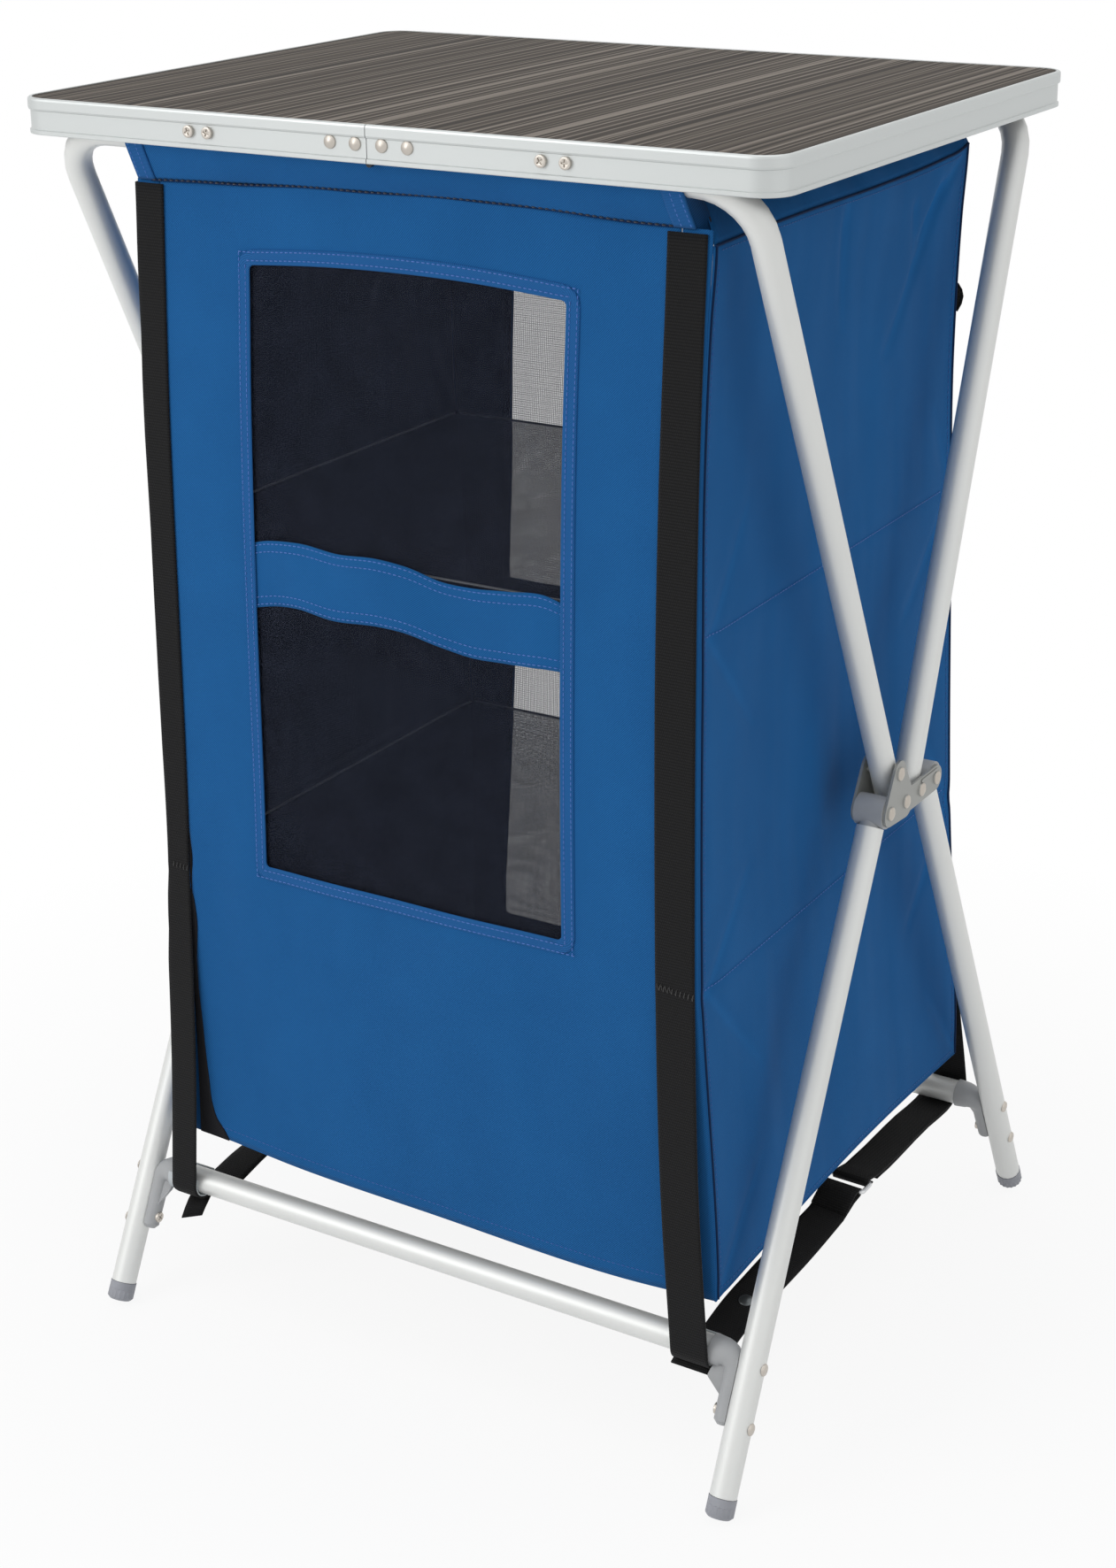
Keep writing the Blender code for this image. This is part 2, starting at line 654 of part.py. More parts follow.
def side_surface(u, v):
    """The right wall: upright to the top seam, then sloping in under the tabletop."""
    upright = 0.92
    z = FLOOR_Z + (SEAM_Z - FLOOR_Z) * min(1.0, v / upright)
    front, back = front_y(z) + 0.0012, rear_y(z) - 0.0012
    if v > upright:
        rise = (v - upright) / (1 - upright)
        front += 0.020 * rise
        y = front + (back - front) * u
        return BOX_X - (BOX_X - WALL_TOP_X) * rise, y, z + 0.030 * rise
    y = front + (back - front) * u
    ease = bay_ease(z) * math.sin(math.pi * u) ** 0.6
    crease = math.sin(2 * math.pi * (2.6 * u + 0.35 * v)) + 0.5 * math.sin(2 * math.pi * (5.3 * u - 0.5 * v) + 1)
    return BOX_X - 0.003 * ease * (1 + 0.9 * crease), y, z


def roof_path():
    """From the front seam up over the front bar, back under the tabletop, and down over the rear bar."""
    radius = TUBE_RADIUS + CLEARANCE + CLOTH / 2 + 0.00005
    points = []
    for bar, seam_y, facing in ((FRONT_BAR, BOX_FRONT, 1), (REAR_BAR, REAR_TOP, -1)):
        along, up = facing * (seam_y - bar.y), SEAM_Z - bar.z
        distance = math.hypot(along, up)
        touch = math.atan2(up, along) - math.acos(radius / distance)
        start = touch % (2 * math.pi)
        part = [Vector((0, seam_y, SEAM_Z + 0.0004))]
        for i in range(7):
            turn = start + (math.pi / 2 - start) * i / 6
            part.append(Vector((0, bar.y + facing * radius * math.cos(turn), bar.z + radius * math.sin(turn))))
        points.append(part)
    front, back = points
    middle = []
    for i in range(1, 10):
        share = i / 10
        point = front[-1].lerp(back[-1], share)
        point.z -= ROOF_SAG * math.sin(math.pi * share) ** 2
        middle.append(point)
    return front + middle + back[::-1]


def add_roof(cloth):
    path = roof_path()
    count = len(path) - 1

    def surface(u, v):
        point = path[round(v * count)]
        share = (point.y - FRONT_BAR.y) / (REAR_BAR.y - FRONT_BAR.y)
        between = math.sin(math.pi * min(1.0, max(0.0, share))) ** 2
        return (2 * u - 1) * ROOF_X, point.y, point.z - 0.004 * between * (2 * u - 1) ** 4

    return add_sheet("roof_sleeve", 4, count, surface, cloth)


def front_wave(x, z):
    """How far the door's cloth stands forward of its seams."""
    across = math.cos(math.pi * x / (2 * DOOR_X)) ** 2
    down = math.sin(math.pi * (z - DOOR_BOTTOM) / (SEAM_Z - DOOR_BOTTOM))
    fold = math.sin(9 * x / DOOR_X + 4 * z) + 0.6 * math.sin(5 * x / DOOR_X - 9 * z + 0.6)
    return 0.0016 * across * max(0.0, down) * (1.3 + fold)


def rounded_slab(half_x, low_z, high_z, radius, y, reach):
    """A block with rounded corners that runs through the plane at y."""
    corners = [(0, 0, low_z), (half_x, 0, low_z), (half_x, 0, high_z), (-half_x, 0, high_z)]
    corners += [(-half_x, 0, low_z), (0, 0, low_z)]
    outline = rounded_path(corners, radius, 5)[:-1]
    return skin([[Vector((p.x, side, p.z)) for p in outline] for side in (y - reach, y + reach)])


def add_door(cloth, net, zip_axis):
    """The front panel: it is sewn at the top, zipped round the rest, and has a window of net."""

    def door(u, v):
        x = (2 * u - 1) * (DOOR_X + CLEARANCE)
        z = DOOR_BOTTOM + (SEAM_Z - CLEARANCE - DOOR_BOTTOM) * v
        return x, front_y(z) - front_wave(x, z), z

    def netting(u, v):
        x = (2 * u - 1) * (WINDOW_X + WINDOW_OVERLAP)
        low, high = WINDOW_BOTTOM - WINDOW_OVERLAP, WINDOW_TOP + WINDOW_OVERLAP
        z = low + (high - low) * v
        return x, BOX_FRONT - front_wave(x, z) + 2 * LAYER_STEP, z

    def band(u, v):
        x = (2 * u - 1) * (WINDOW_X + WINDOW_OVERLAP - 0.001)
        z = BAND_BOTTOM + (BAND_TOP - BAND_BOTTOM) * v
        free = smooth_step((WINDOW_X - 0.006 - abs(x)) / 0.03)
        loose = 0.0022 * free * (1 + math.sin(38 * x + 1.2 + 14 * (z - BAND_BOTTOM)))
        return x, BOX_FRONT - front_wave(x, z) + LAYER_STEP - loose, z

    panel = add_sheet("door_panel", 14, 22, door, cloth, origin=zip_axis)
    add_boolean(panel, door_block(0.0), "INTERSECT")
    window = rounded_slab(WINDOW_X, WINDOW_BOTTOM, WINDOW_TOP, WINDOW_RADIUS, BOX_FRONT, 0.02)
    add_boolean(panel, window, "DIFFERENCE")
    add_sheet("door_net", 12, 16, netting, net, 0.0005, origin=zip_axis)
    add_sheet("door_band", 16, 3, band, cloth, origin=zip_axis)


def door_block(gap):
    """A block with the door's outline and its rounded lower corners, open past the seam."""
    radius = DOOR_RADIUS + gap
    middle = front_y(DOOR_BOTTOM + DOOR_RADIUS)
    return rounded_slab(DOOR_X + gap, DOOR_BOTTOM - gap, SEAM_Z + 2 * radius, radius, middle, 0.03)


def add_border(cloth):
    """The fixed strips at the front corners and under the door, in one piece."""

    def strip(u, v):
        low, high, share = (FLOOR_Z, TUCK_Z, 2 * v) if v < 0.5 else (TUCK_Z, SEAM_Z - CLEARANCE, 2 * v - 1)
        z = low + (high - low) * share
        return (2 * u - 1) * (BOX_X + CLEARANCE), front_y(z), z

    item = add_sheet("front_border", 2, 2, strip, cloth)
    add_boolean(item, door_block(ZIP_GAP), "DIFFERENCE")


def add_rear(cloth, net):
    """The rear panel, with a wider and longer window than the door's."""

    def panel(u, v):
        x = (2 * u - 1) * (BOX_X + 0.0003)
        z = FLOOR_Z + (SEAM_Z - CLEARANCE - FLOOR_Z) * v
        return x, rear_y(z), z

    def netting(u, v):
        x = (2 * u - 1) * (REAR_WINDOW_X + WINDOW_OVERLAP)
        low, high = REAR_WINDOW_BOTTOM - WINDOW_OVERLAP, WINDOW_TOP + WINDOW_OVERLAP
        z = low + (high - low) * v
        return x, rear_y(z) - 2 * LAYER_STEP, z

    def band(u, v):
        x = (2 * u - 1) * (REAR_WINDOW_X + WINDOW_OVERLAP - 0.001)
        z = REAR_BAND_BOTTOM + (REAR_BAND_TOP - REAR_BAND_BOTTOM) * v
        return x, rear_y(z) - LAYER_STEP, z

    item = add_sheet("rear_panel", 8, 12, panel, cloth)
    middle = rear_y((WINDOW_TOP + REAR_WINDOW_BOTTOM) / 2)
    low, high = REAR_WINDOW_BOTTOM, WINDOW_TOP
    window = rounded_slab(REAR_WINDOW_X, low, high, WINDOW_RADIUS, middle, 0.12)
    add_boolean(item, window, "DIFFERENCE")
    add_sheet("rear_net", 2, 12, netting, net, 0.0005)
    add_sheet("rear_band", 2, 1, band, cloth)


def add_shelves(shelf_cloth, cloth):
    """Two shelves and the box's floor, each held all round by its hem."""
    inner_x = BOX_X - CLOTH / 2 - CLEARANCE

    def level(z, front_gap, back_gap, sag):
        front = front_y(z) + front_gap

        def surface(u, v):
            x = (2 * u - 1) * (inner_x - 0.0004)
            y = front + (rear_y(z) - back_gap - front) * v
            return x, y, z - sag * math.sin(math.pi * u) ** 2 * math.sin(math.pi * v) ** 2

        return surface

    gap = 2 * LAYER_STEP + 0.0008
    for name, z in zip(("shelf_lower", "shelf_upper"), SHELF_HEIGHTS):
        add_sheet(name, 8, 8, level(z, gap, gap, 0.004), shelf_cloth, SHELF_THICKNESS)
    low = FLOOR_Z + FLOOR_THICKNESS / 2 + CLEARANCE
    add_sheet("box_floor", 8, 8, level(low, 0.0012, 0.0012, 0.0), cloth, FLOOR_THICKNESS)


def add_walls(cloth):
    for suffix, turn in (("R", 1), ("L", -1)):

        def surface(u, v, turn=turn):
            x, y, z = side_surface(u, v)
            return turn * x, y, z

        add_sheet("side_wall_" + suffix, 12, 25, surface, cloth)


def webbing_section():
    half, thick = WEBBING_WIDTH / 2, WEBBING / 2
    return [(-thick, -half), (thick, -half), (thick, half), (-thick, half)]


def strap_path(facing):
    """A corner strap, from the top seam down the panel, then free to its tube."""
    out = -facing
    stand = CLOTH / 2 + WEBBING / 2 + 0.0004
    foot_y = cross_centre(facing).y + out * (TUBE_RADIUS + 1.5 * WEBBING + 2 * CLEARANCE)
    face = front_y if facing > 0 else rear_y
    path = [Vector((0, face(z) + out * stand, z)) for z in (SEAM_Z - CLEARANCE, (SEAM_Z + TUCK_Z) / 2, TUCK_Z)]
    path.append(Vector((0, foot_y, CROSS_Z + 0.006)))
    path.append(Vector((0, foot_y, CROSS_Z - STRAP_TAIL)))
    return path


def cross_centre(facing):
    axis_point, foot = (FRONT_LOWER, FRONT_FOOT) if facing > 0 else (REAR_LOWER, REAR_FOOT)
    down = (foot - axis_point).normalized()
    return axis_point + down * ((axis_point.z - CROSS_Z) / -down.z)


def add_corner_straps(webbing):
    for place, facing in (("front", 1), ("rear", -1)):
        path = []
        for point in strap_path(facing):
            share = (SEAM_Z - point.z) / (SEAM_Z - CROSS_Z)
            path.append(at_x(point, STRAP_TOP_X + (STRAP_FOOT_X - STRAP_TOP_X) * min(1.0, share)))
        mesh = skin(rings_along(path, SIDE, webbing_section()))
        add_object("corner_strap_" + place + "_R", mesh.copy(), webbing)
        add_object("corner_strap_" + place + "_L", mirrored(mesh), webbing)


def wrap_turns(centre, facing, radius):
    """Points round a cross tube, over the top, round its outer side and back underneath."""
    return [centre + Vector((0, facing * radius * math.cos(t), radius * math.sin(t))) for t in fold_turns()]


def spreader_path():
    """One strap: a short end, round the front tube, across to the rear tube, and back to the ring."""
    radius = TUBE_RADIUS + CLEARANCE + WEBBING / 2
    front, back = cross_centre(1), cross_centre(-1)
    ply = WEBBING / 2 + 0.0004
    upper, lower = CROSS_Z + ply, CROSS_Z - ply
    path = [Vector((0, SPREADER_FRONT_END, upper))]
    path.append(Vector((0, front.y + 0.045, upper)))
    path += wrap_turns(front, 1, radius)
    path.append(Vector((0, front.y + 0.045, lower)))
    path.append(Vector((0, back.y - 0.045, lower)))
    path += wrap_turns(back, -1, radius)[::-1]
    path.append(Vector((0, back.y - 0.045, upper)))
    bar = ring_bar()
    radius = RING_WIRE + CLEARANCE + WEBBING / 2
    path += [bar + Vector((0, radius * math.cos(t), radius * math.sin(t))) for t in fold_turns()]
    path.append(bar + Vector((0, 0.005, -radius)))
    return path


def ring_bar():
    """The rear side of the wire ring, which lies in the fold at the strap's end."""
    return Vector((0, RING_Y, CROSS_Z + WEBBING + 2 * CLEARANCE + RING_WIRE))


def fold_turns():
    return [math.pi * (0.5 + i / 8) for i in range(9)]


def add_spreaders(webbing, steel):
    """The straps that stop the feet from spreading, each with a wire ring near its middle."""
    path = [at_x(point, SPREADER_X) for point in spreader_path()]
    strap = skin(rings_along(path, SIDE, webbing_section()))
    half_x = WEBBING_WIDTH / 2 + RING_SIDE_GAP
    low, high = RING_Y - RING_LENGTH, RING_Y
    corners = [(0, low), (half_x, low), (half_x, high), (-half_x, high), (-half_x, low), (0, low)]
    loop = rounded_path([(SPREADER_X + a, b, ring_bar().z) for a, b in corners], 0.0025, 3)[:-1]
    ring = wire_ring(loop, RING_WIRE)
    for suffix, turned in (("R", False), ("L", True)):
        meshes = [mirrored(mesh) if turned else mesh.copy() for mesh in (strap, ring)]
        add_object("spreader_strap_" + suffix, meshes[0], webbing)
        add_object("spreader_ring_" + suffix, meshes[1], steel)


def wire_ring(loop, radius):
    shape = bmesh.new()
    count = len(loop)
    rings = []
    for i, point in enumerate(loop):
        tangent = (loop[(i + 1) % count] - loop[i - 1]).normalized()
        side = Vector((0, 0, 1)).cross(tangent)
        ring = [point + side * a + Vector((0, 0, b)) for a, b in circle(radius, 8)]
        rings.append([shape.verts.new(vertex) for vertex in ring])
    for i in range(count):
        bridge(shape, rings[i], rings[(i + 1) % count])
    return to_mesh(shape)


def main():
    clear_scene()
    aluminium = make_material("satin_aluminium", (0.72, 0.73, 0.73), 0.32, 1.0)
    bracket_steel = make_material("grey_steel", (0.36, 0.36, 0.34), 0.42, 0.8)
    plastic = make_material("grey_plastic", (0.36, 0.38, 0.41), 0.5)
    rubber = make_material("foot_plastic", (0.29, 0.30, 0.34), 0.55)
    laminate = make_material("dark_laminate", (0.095, 0.075, 0.062), 0.45)
    cloth = make_material("blue_polyester", (0.020, 0.100, 0.310), 0.85)
    net = make_material("dark_net", (0.030, 0.045, 0.070), 0.8)
    shelf_cloth = make_material("shelf_net", (0.050, 0.060, 0.080), 0.85)
    webbing = make_material("black_webbing", (0.018, 0.017, 0.016), 0.8)
    steel = make_material("bright_steel", (0.60, 0.60, 0.58), 0.3, 1.0)

    upper_tube("front_upper_tube", FRONT_UPPER, FRONT_BAR, (FIXING, FRONT_UPPER), aluminium)
    upper_tube("rear_upper_tube", REAR_UPPER, REAR_BAR, (REAR_UPPER,), aluminium)
    add_brackets(bracket_steel)
    add_lower_frame("front", FRONT_LOWER, FRONT_FOOT, (aluminium, plastic, rubber))
    add_lower_frame("rear", REAR_LOWER, REAR_FOOT, (aluminium, plastic, rubber))
    add_tabletop(aluminium, laminate)
    add_fold_hinges(steel)
    add_clips(plastic)
    add_roof(cloth)
    add_walls(cloth)
    add_border(cloth)
    add_door(cloth, net, (0, BOX_FRONT, SEAM_Z))
    add_rear(cloth, net)
    add_shelves(shelf_cloth, cloth)
    add_corner_straps(webbing)
    add_spreaders(webbing, steel)


main()
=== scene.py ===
# %% [markdown]
# # A folding camping cupboard, dressed for the camera
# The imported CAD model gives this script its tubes, brackets, feet and tabletop at their real
# sizes. What it can't give is cloth: the box, its nets and its straps are made here as sheets
# with folds, hems and stitches, and every surface gets a material made of nodes. Lengths are in
# metres, X runs along the front, -Y faces the front and Z is up.

import json
import math

import bmesh
import bpy
import numpy as np
from mathutils import Matrix, Vector


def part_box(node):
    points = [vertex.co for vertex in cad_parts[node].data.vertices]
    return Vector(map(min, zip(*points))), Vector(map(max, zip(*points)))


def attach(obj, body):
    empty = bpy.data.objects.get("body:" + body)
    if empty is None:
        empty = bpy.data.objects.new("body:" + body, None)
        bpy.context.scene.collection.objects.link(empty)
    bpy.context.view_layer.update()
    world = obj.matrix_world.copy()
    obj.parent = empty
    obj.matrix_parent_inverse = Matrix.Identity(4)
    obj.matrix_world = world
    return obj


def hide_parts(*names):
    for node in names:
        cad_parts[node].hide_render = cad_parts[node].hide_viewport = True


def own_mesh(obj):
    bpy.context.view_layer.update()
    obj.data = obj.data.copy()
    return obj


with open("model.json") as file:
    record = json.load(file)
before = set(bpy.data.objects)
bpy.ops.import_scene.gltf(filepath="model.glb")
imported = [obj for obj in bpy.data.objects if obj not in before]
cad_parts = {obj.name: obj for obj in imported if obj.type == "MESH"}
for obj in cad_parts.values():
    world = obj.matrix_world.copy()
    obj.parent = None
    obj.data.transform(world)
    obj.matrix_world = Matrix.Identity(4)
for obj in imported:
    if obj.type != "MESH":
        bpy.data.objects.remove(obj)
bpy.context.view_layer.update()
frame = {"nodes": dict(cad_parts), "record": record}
nodes = frame["nodes"]

# %% [markdown]
# ## The camera
# A camera can be guessed by eye, or solved from points whose places are known. Here the corners
# of the tabletop, the feet and the rivets were matched to the model, which gave the camera's
# place, its turns and its focal length in pixels. Blender wants that length in millimetres of
# sensor, and measures shift in shares of the picture's longer side.

# %% Camera
PICTURE = (1261, 1772)
FOCAL_PIXELS = 3054.5
PRINCIPAL = (600.0, 700.0)
AZIMUTH, ELEVATION, ROLL = (math.radians(a) for a in (31.9002, 18.5481, -0.7407))

look = Vector(
    (
        -math.sin(AZIMUTH) * math.cos(ELEVATION), math.cos(AZIMUTH) * math.cos(ELEVATION),
        -math.sin(ELEVATION)
    )
)
level = look.cross(Vector((0, 0, 1))).normalized()
rise = level.cross(look)
right = level * math.cos(ROLL) + rise * math.sin(ROLL)
up = rise * math.cos(ROLL) - level * math.sin(ROLL)

camera_data = bpy.data.cameras.new("photo_camera")
camera_data.sensor_width = 36.0
camera_data.lens = FOCAL_PIXELS * camera_data.sensor_width / PICTURE[1]
camera_data.shift_x = (PICTURE[0] / 2 - PRINCIPAL[0]) / PICTURE[1]
camera_data.shift_y = (PRINCIPAL[1] - PICTURE[1] / 2) / PICTURE[1]
camera = bpy.data.objects.new("photo_camera", camera_data)
scene = bpy.context.scene
camera.matrix_world = Matrix.Translation(
    (1.01734, -1.70037, 1.21438)
) @ Matrix((right, up, -look)).transposed().to_4x4()
scene.collection.objects.link(camera)
scene.camera = camera
print(
    "lens", round(camera_data.lens, 2), "shift", round(camera_data.shift_x, 4),
    round(camera_data.shift_y, 4)
)

# %% [markdown]
# ## Nodes in few words
# A material is a tree of nodes. Adding each one by hand takes three lines every time, so one
# small helper adds a node with its settings and links what feeds it. A value that isn't a
# socket is written into the input as it is.

# %% Node helpers
def put(tree, kind, inputs=None, **settings):
    """Adds a shader node. An input given as a socket is linked, and any other is set."""
    node = tree.nodes.new(kind)
    for name, value in settings.items():
        setattr(node, name, value)
    for name, value in (inputs or {}).items():
        if isinstance(value, bpy.types.NodeSocket):
            tree.links.new(value, node.inputs[name])
        else:
            node.inputs[name].default_value = value
    return node


def sums(tree, operation, first, second=None):
    inputs = {0: first} if second is None else {0: first, 1: second}
    return put(tree, "ShaderNodeMath", inputs, operation=operation).outputs[0]


def blend_colours(tree, share, first, second):
    node = put(tree, "ShaderNodeMix", data_type="RGBA")
    for name, value in (("Factor_Float", share), ("A_Color", first), ("B_Color", second)):
        socket = next(s for s in node.inputs if s.identifier == name)
        if isinstance(value, bpy.types.NodeSocket):
            tree.links.new(value, socket)
        else:
            socket.default_value = value
    return next(s for s in node.outputs if s.identifier == "Result_Color")


def start_group(name, inputs, outputs):
    """A new node group with named sockets. Each is given as a name, a kind and, for inputs, a value."""
    tree = bpy.data.node_groups.new(name, "ShaderNodeTree")
    for title, kind, value in inputs:
        socket = tree.interface.new_socket(title, in_out="INPUT", socket_type=kind)
        if value is not None:
            socket.default_value = value
    for title, kind in outputs:
        tree.interface.new_socket(title, in_out="OUTPUT", socket_type=kind)
    return tree, tree.nodes.new("NodeGroupInput").outputs, tree.nodes.new("NodeGroupOutput").inputs


def start_material(name, roughness, metallic=0.0, **uniform):
    material = bpy.data.materials.new(name)
    material.use_nodes = True
    shader = material.node_tree.nodes["Principled BSDF"]
    shader.inputs["Roughness"].default_value = roughness
    shader.inputs["Metallic"].default_value = metallic
    for title, value in uniform.items():
        shader.inputs[title.replace("_", " ")].default_value = value
    return material, material.node_tree, shader


def use_group(tree, group, inputs):
    return put(tree, "ShaderNodeGroup", inputs, node_tree=group).outputs


def noise(tree, place, scale, detail, roughness=0.5):
    inputs = {"Vector": place, "Scale": scale, "Detail": detail, "Roughness": roughness}
    return put(tree, "ShaderNodeTexNoise", inputs).outputs["Fac"]


def object_place(tree):
    return put(tree, "ShaderNodeTexCoord").outputs["Object"]


def bump(tree, shader, height, distance, strength=1.0):
    node = put(tree, "ShaderNodeBump", {"Height": height, "Distance": distance, "Strength": strength})
    tree.links.new(node.outputs["Normal"], shader.inputs["Normal"])


def wire(tree, shader, out, distance, strength):
    """Links a group's colour, its roughness if it has one, and its height to the shader."""
    tree.links.new(out["Colour"], shader.inputs["Base Color"])
    if "Roughness" in out:
        tree.links.new(out["Roughness"], shader.inputs["Roughness"])
    bump(tree, shader, out["Height"], distance, strength)


FLOAT, COLOUR, VECTOR = "NodeSocketFloat", "NodeSocketColor", "NodeSocketVector"
print("helpers ready")

# %% [markdown]
# ## Light and floor
# The photograph is a studio picture on white. A white background made by more light would wash
# out the object, so the world shows white only to the camera and in reflections, and lights the
# cloth at a lower strength. A big soft lamp at the left front makes the front panel brighter than
# the side wall, as in the photograph.

# %% World and lamps
scene.view_settings.view_transform = "Standard"
world = bpy.data.worlds.new("studio")
scene.world = world
world.use_nodes = True
tree = world.node_tree
background = tree.nodes["Background"]
background.inputs["Color"].default_value = (1.0, 1.0, 1.0, 1.0)
rays = put(tree, "ShaderNodeLightPath").outputs
seen = sums(tree, "MAXIMUM", rays["Is Camera Ray"], rays["Is Glossy Ray"])
seen = sums(tree, "MAXIMUM", seen, rays["Is Transmission Ray"])
strength = put(tree, "ShaderNodeMapRange", {"Value": seen, "To Min": 0.42, "To Max": 1.0})
tree.links.new(strength.outputs["Result"], background.inputs["Strength"])


def add_lamp(name, place, target, size, power):
    lamp = bpy.data.lights.new(name, "AREA")
    lamp.shape = "RECTANGLE"
    lamp.size, lamp.size_y = size
    lamp.energy = power
    item = bpy.data.objects.new(name, lamp)
    item.location = place
    item.rotation_euler = (Vector(target) - Vector(place)).to_track_quat("-Z", "Y").to_euler()
    scene.collection.objects.link(item)
    return item


add_lamp("key_lamp", (-1.5, -2.6, 1.9), (0.0, -0.1, 0.5), (1.8, 2.0), 34.0)
add_lamp("top_lamp", (0.3, -0.3, 3.0), (0.0, 0.0, 0.6), (2.2, 2.2), 14.0)
add_lamp("side_lamp", (2.9, -0.3, 1.3), (0.0, 0.0, 0.5), (3.4, 3.2), 9.0)
print("lamps ready")

# %% [markdown]
# ## Twill
# The blue cloth is a coated polyester twill: its threads cross so that fine diagonal ribs run
# over it. A picture of cloth could be wrapped on, but waves made of sines stay sharp at any
# distance. The pattern reads the cloth's own UV map, which holds real metres, so the ribs turn
# with each sheet. Slow noise varies the colour, as coating and light wear do. A second noise,
# stretched upright, adds the soft swells of hanging cloth as bumps, and paints their shade into
# the colour as lighter and darker upright streaks. A value stored on the points makes creases a
# little paler: partly wear, and partly a painted highlight along the folds.

# %% Twill group
twill, given, result = start_group(
    "twill_weave",
    [
        ("Metres", VECTOR, None), ("Pitch", FLOAT, 0.0016), ("Dark", COLOUR, None), ("Light", COLOUR, None),
        ("Mottle", FLOAT, 0.26), ("Folds", FLOAT, 60.0), ("Wear_and_sheen", FLOAT, 0.0)
    ],
    [("Colour", COLOUR), ("Height", FLOAT)],
)
parts = put(twill, "ShaderNodeSeparateXYZ", {"Vector": given["Metres"]}).outputs
turns = sums(twill, "DIVIDE", 2 * math.pi, given["Pitch"])
diagonal = sums(twill, "MULTIPLY", sums(twill, "SUBTRACT", parts["X"], parts["Y"]), turns)
crossing = sums(twill, "MULTIPLY", sums(twill, "ADD", parts["X"], parts["Y"]), turns)
rib = sums(twill, "MULTIPLY_ADD", sums(twill, "SINE", diagonal), 0.5)
twill.nodes[-1].inputs[2].default_value = 0.5
thread = sums(twill, "MULTIPLY_ADD", sums(twill, "SINE", crossing), 0.5)
twill.nodes[-1].inputs[2].default_value = 0.5
weave = sums(twill, "MULTIPLY", rib, sums(twill, "ADD", 0.7, sums(twill, "MULTIPLY", thread, 0.3)))
slow = noise(twill, given["Metres"], 14.0, 5.0, 0.6)
fine = noise(twill, given["Metres"], 900.0, 2.0)
uneven = sums(
    twill, "ADD", sums(twill, "MULTIPLY", slow, given["Mottle"]), sums(twill, "MULTIPLY", fine, 0.18)
)
upright = put(
    twill, "ShaderNodeVectorMath", {0: given["Metres"], 1: (1.0, 0.22, 1.0)}, operation="MULTIPLY"
).outputs["Vector"]
drape = noise(twill, upright, 13.0, 2.0)
# Painted fold shade: the drape noise also lightens and darkens the colour, in place of light on the folds.
painted_fold_shade = sums(
    twill, "MULTIPLY", sums(twill, "SUBTRACT", drape, 0.5), sums(twill, "MULTIPLY", given["Folds"], 0.0034)
)
share = sums(twill, "ADD", sums(twill, "MULTIPLY", weave, 0.74), sums(twill, "ADD", uneven, painted_fold_shade))
# Creases made paler: partly wear, partly a painted highlight on the fold.
share = sums(twill, "ADD", share, sums(twill, "MULTIPLY", given["Wear_and_sheen"], 0.30))
twill.links.new(blend_colours(twill, share, given["Dark"], given["Light"]), result["Colour"])
surface = sums(twill, "ADD", weave, sums(twill, "MULTIPLY", fine, 0.3))
twill.links.new(
    sums(twill, "ADD", surface, sums(twill, "MULTIPLY", drape, given["Folds"])), result["Height"]
)


def cloth_metres(tree):
    return put(tree, "ShaderNodeUVMap", uv_map="metres").outputs["UV"]


def make_twill(name, dark, light, folds=0.0):
    material, tree, shader = start_material(
        name, 0.82, Sheen_Weight=0.03, Sheen_Roughness=0.5, Specular_IOR_Level=0.10
    )
    # Paler creases read from the points: partly wear, partly a painted highlight.
    crease_wear_and_sheen = put(tree, "ShaderNodeAttribute", attribute_name="wear_and_sheen").outputs["Fac"]
    out = use_group(
        tree, twill,
        {
            "Wear_and_sheen": crease_wear_and_sheen, "Metres": cloth_metres(tree), "Dark": (*dark, 1), "Light": (*light, 1),
            "Folds": folds
        }
    )
    wire(tree, shader, out, 0.00012, 0.6)
    return material


blue_cloth = make_twill("blue_polyester_twill", (0.0062, 0.060, 0.196), (0.0192, 0.167, 0.462), 60.0)
hem_cloth = make_twill("blue_hem_twill", (0.009, 0.064, 0.210), (0.028, 0.170, 0.470))
side_cloth = make_twill("blue_side_twill", (0.0060, 0.061, 0.198), (0.0188, 0.170, 0.470), 110.0)
dark_lining = make_twill("dark_coated_lining", (0.012, 0.015, 0.027), (0.034, 0.040, 0.066), 60.0)
# The same blue at about half its brightness: painted shade for the gusset under the tabletop.
gusset_painted_shade = make_twill("painted_shade_gusset_twill", (0.003, 0.028, 0.090), (0.009, 0.075, 0.215))
# Dark navy for the seam cords: painted shade in the seams' grooves.
seam_shade_cloth = make_twill("painted_shade_seam_cloth", (0.003, 0.012, 0.045), (0.010, 0.035, 0.110))
pale_cloth = make_twill("grey_binding_cloth", (0.26, 0.27, 0.28), (0.46, 0.47, 0.48))
dark_cloth = make_twill("dark_shelf_cloth", (0.014, 0.016, 0.022), (0.042, 0.046, 0.058))
print("twill materials ready")

# %% [markdown]
# ## Webbing
# Black webbing shows rows of little knots across its width. Rows and columns are two waves, and
# every second row is moved by half a column, which gives the brick-like look of the real weave.

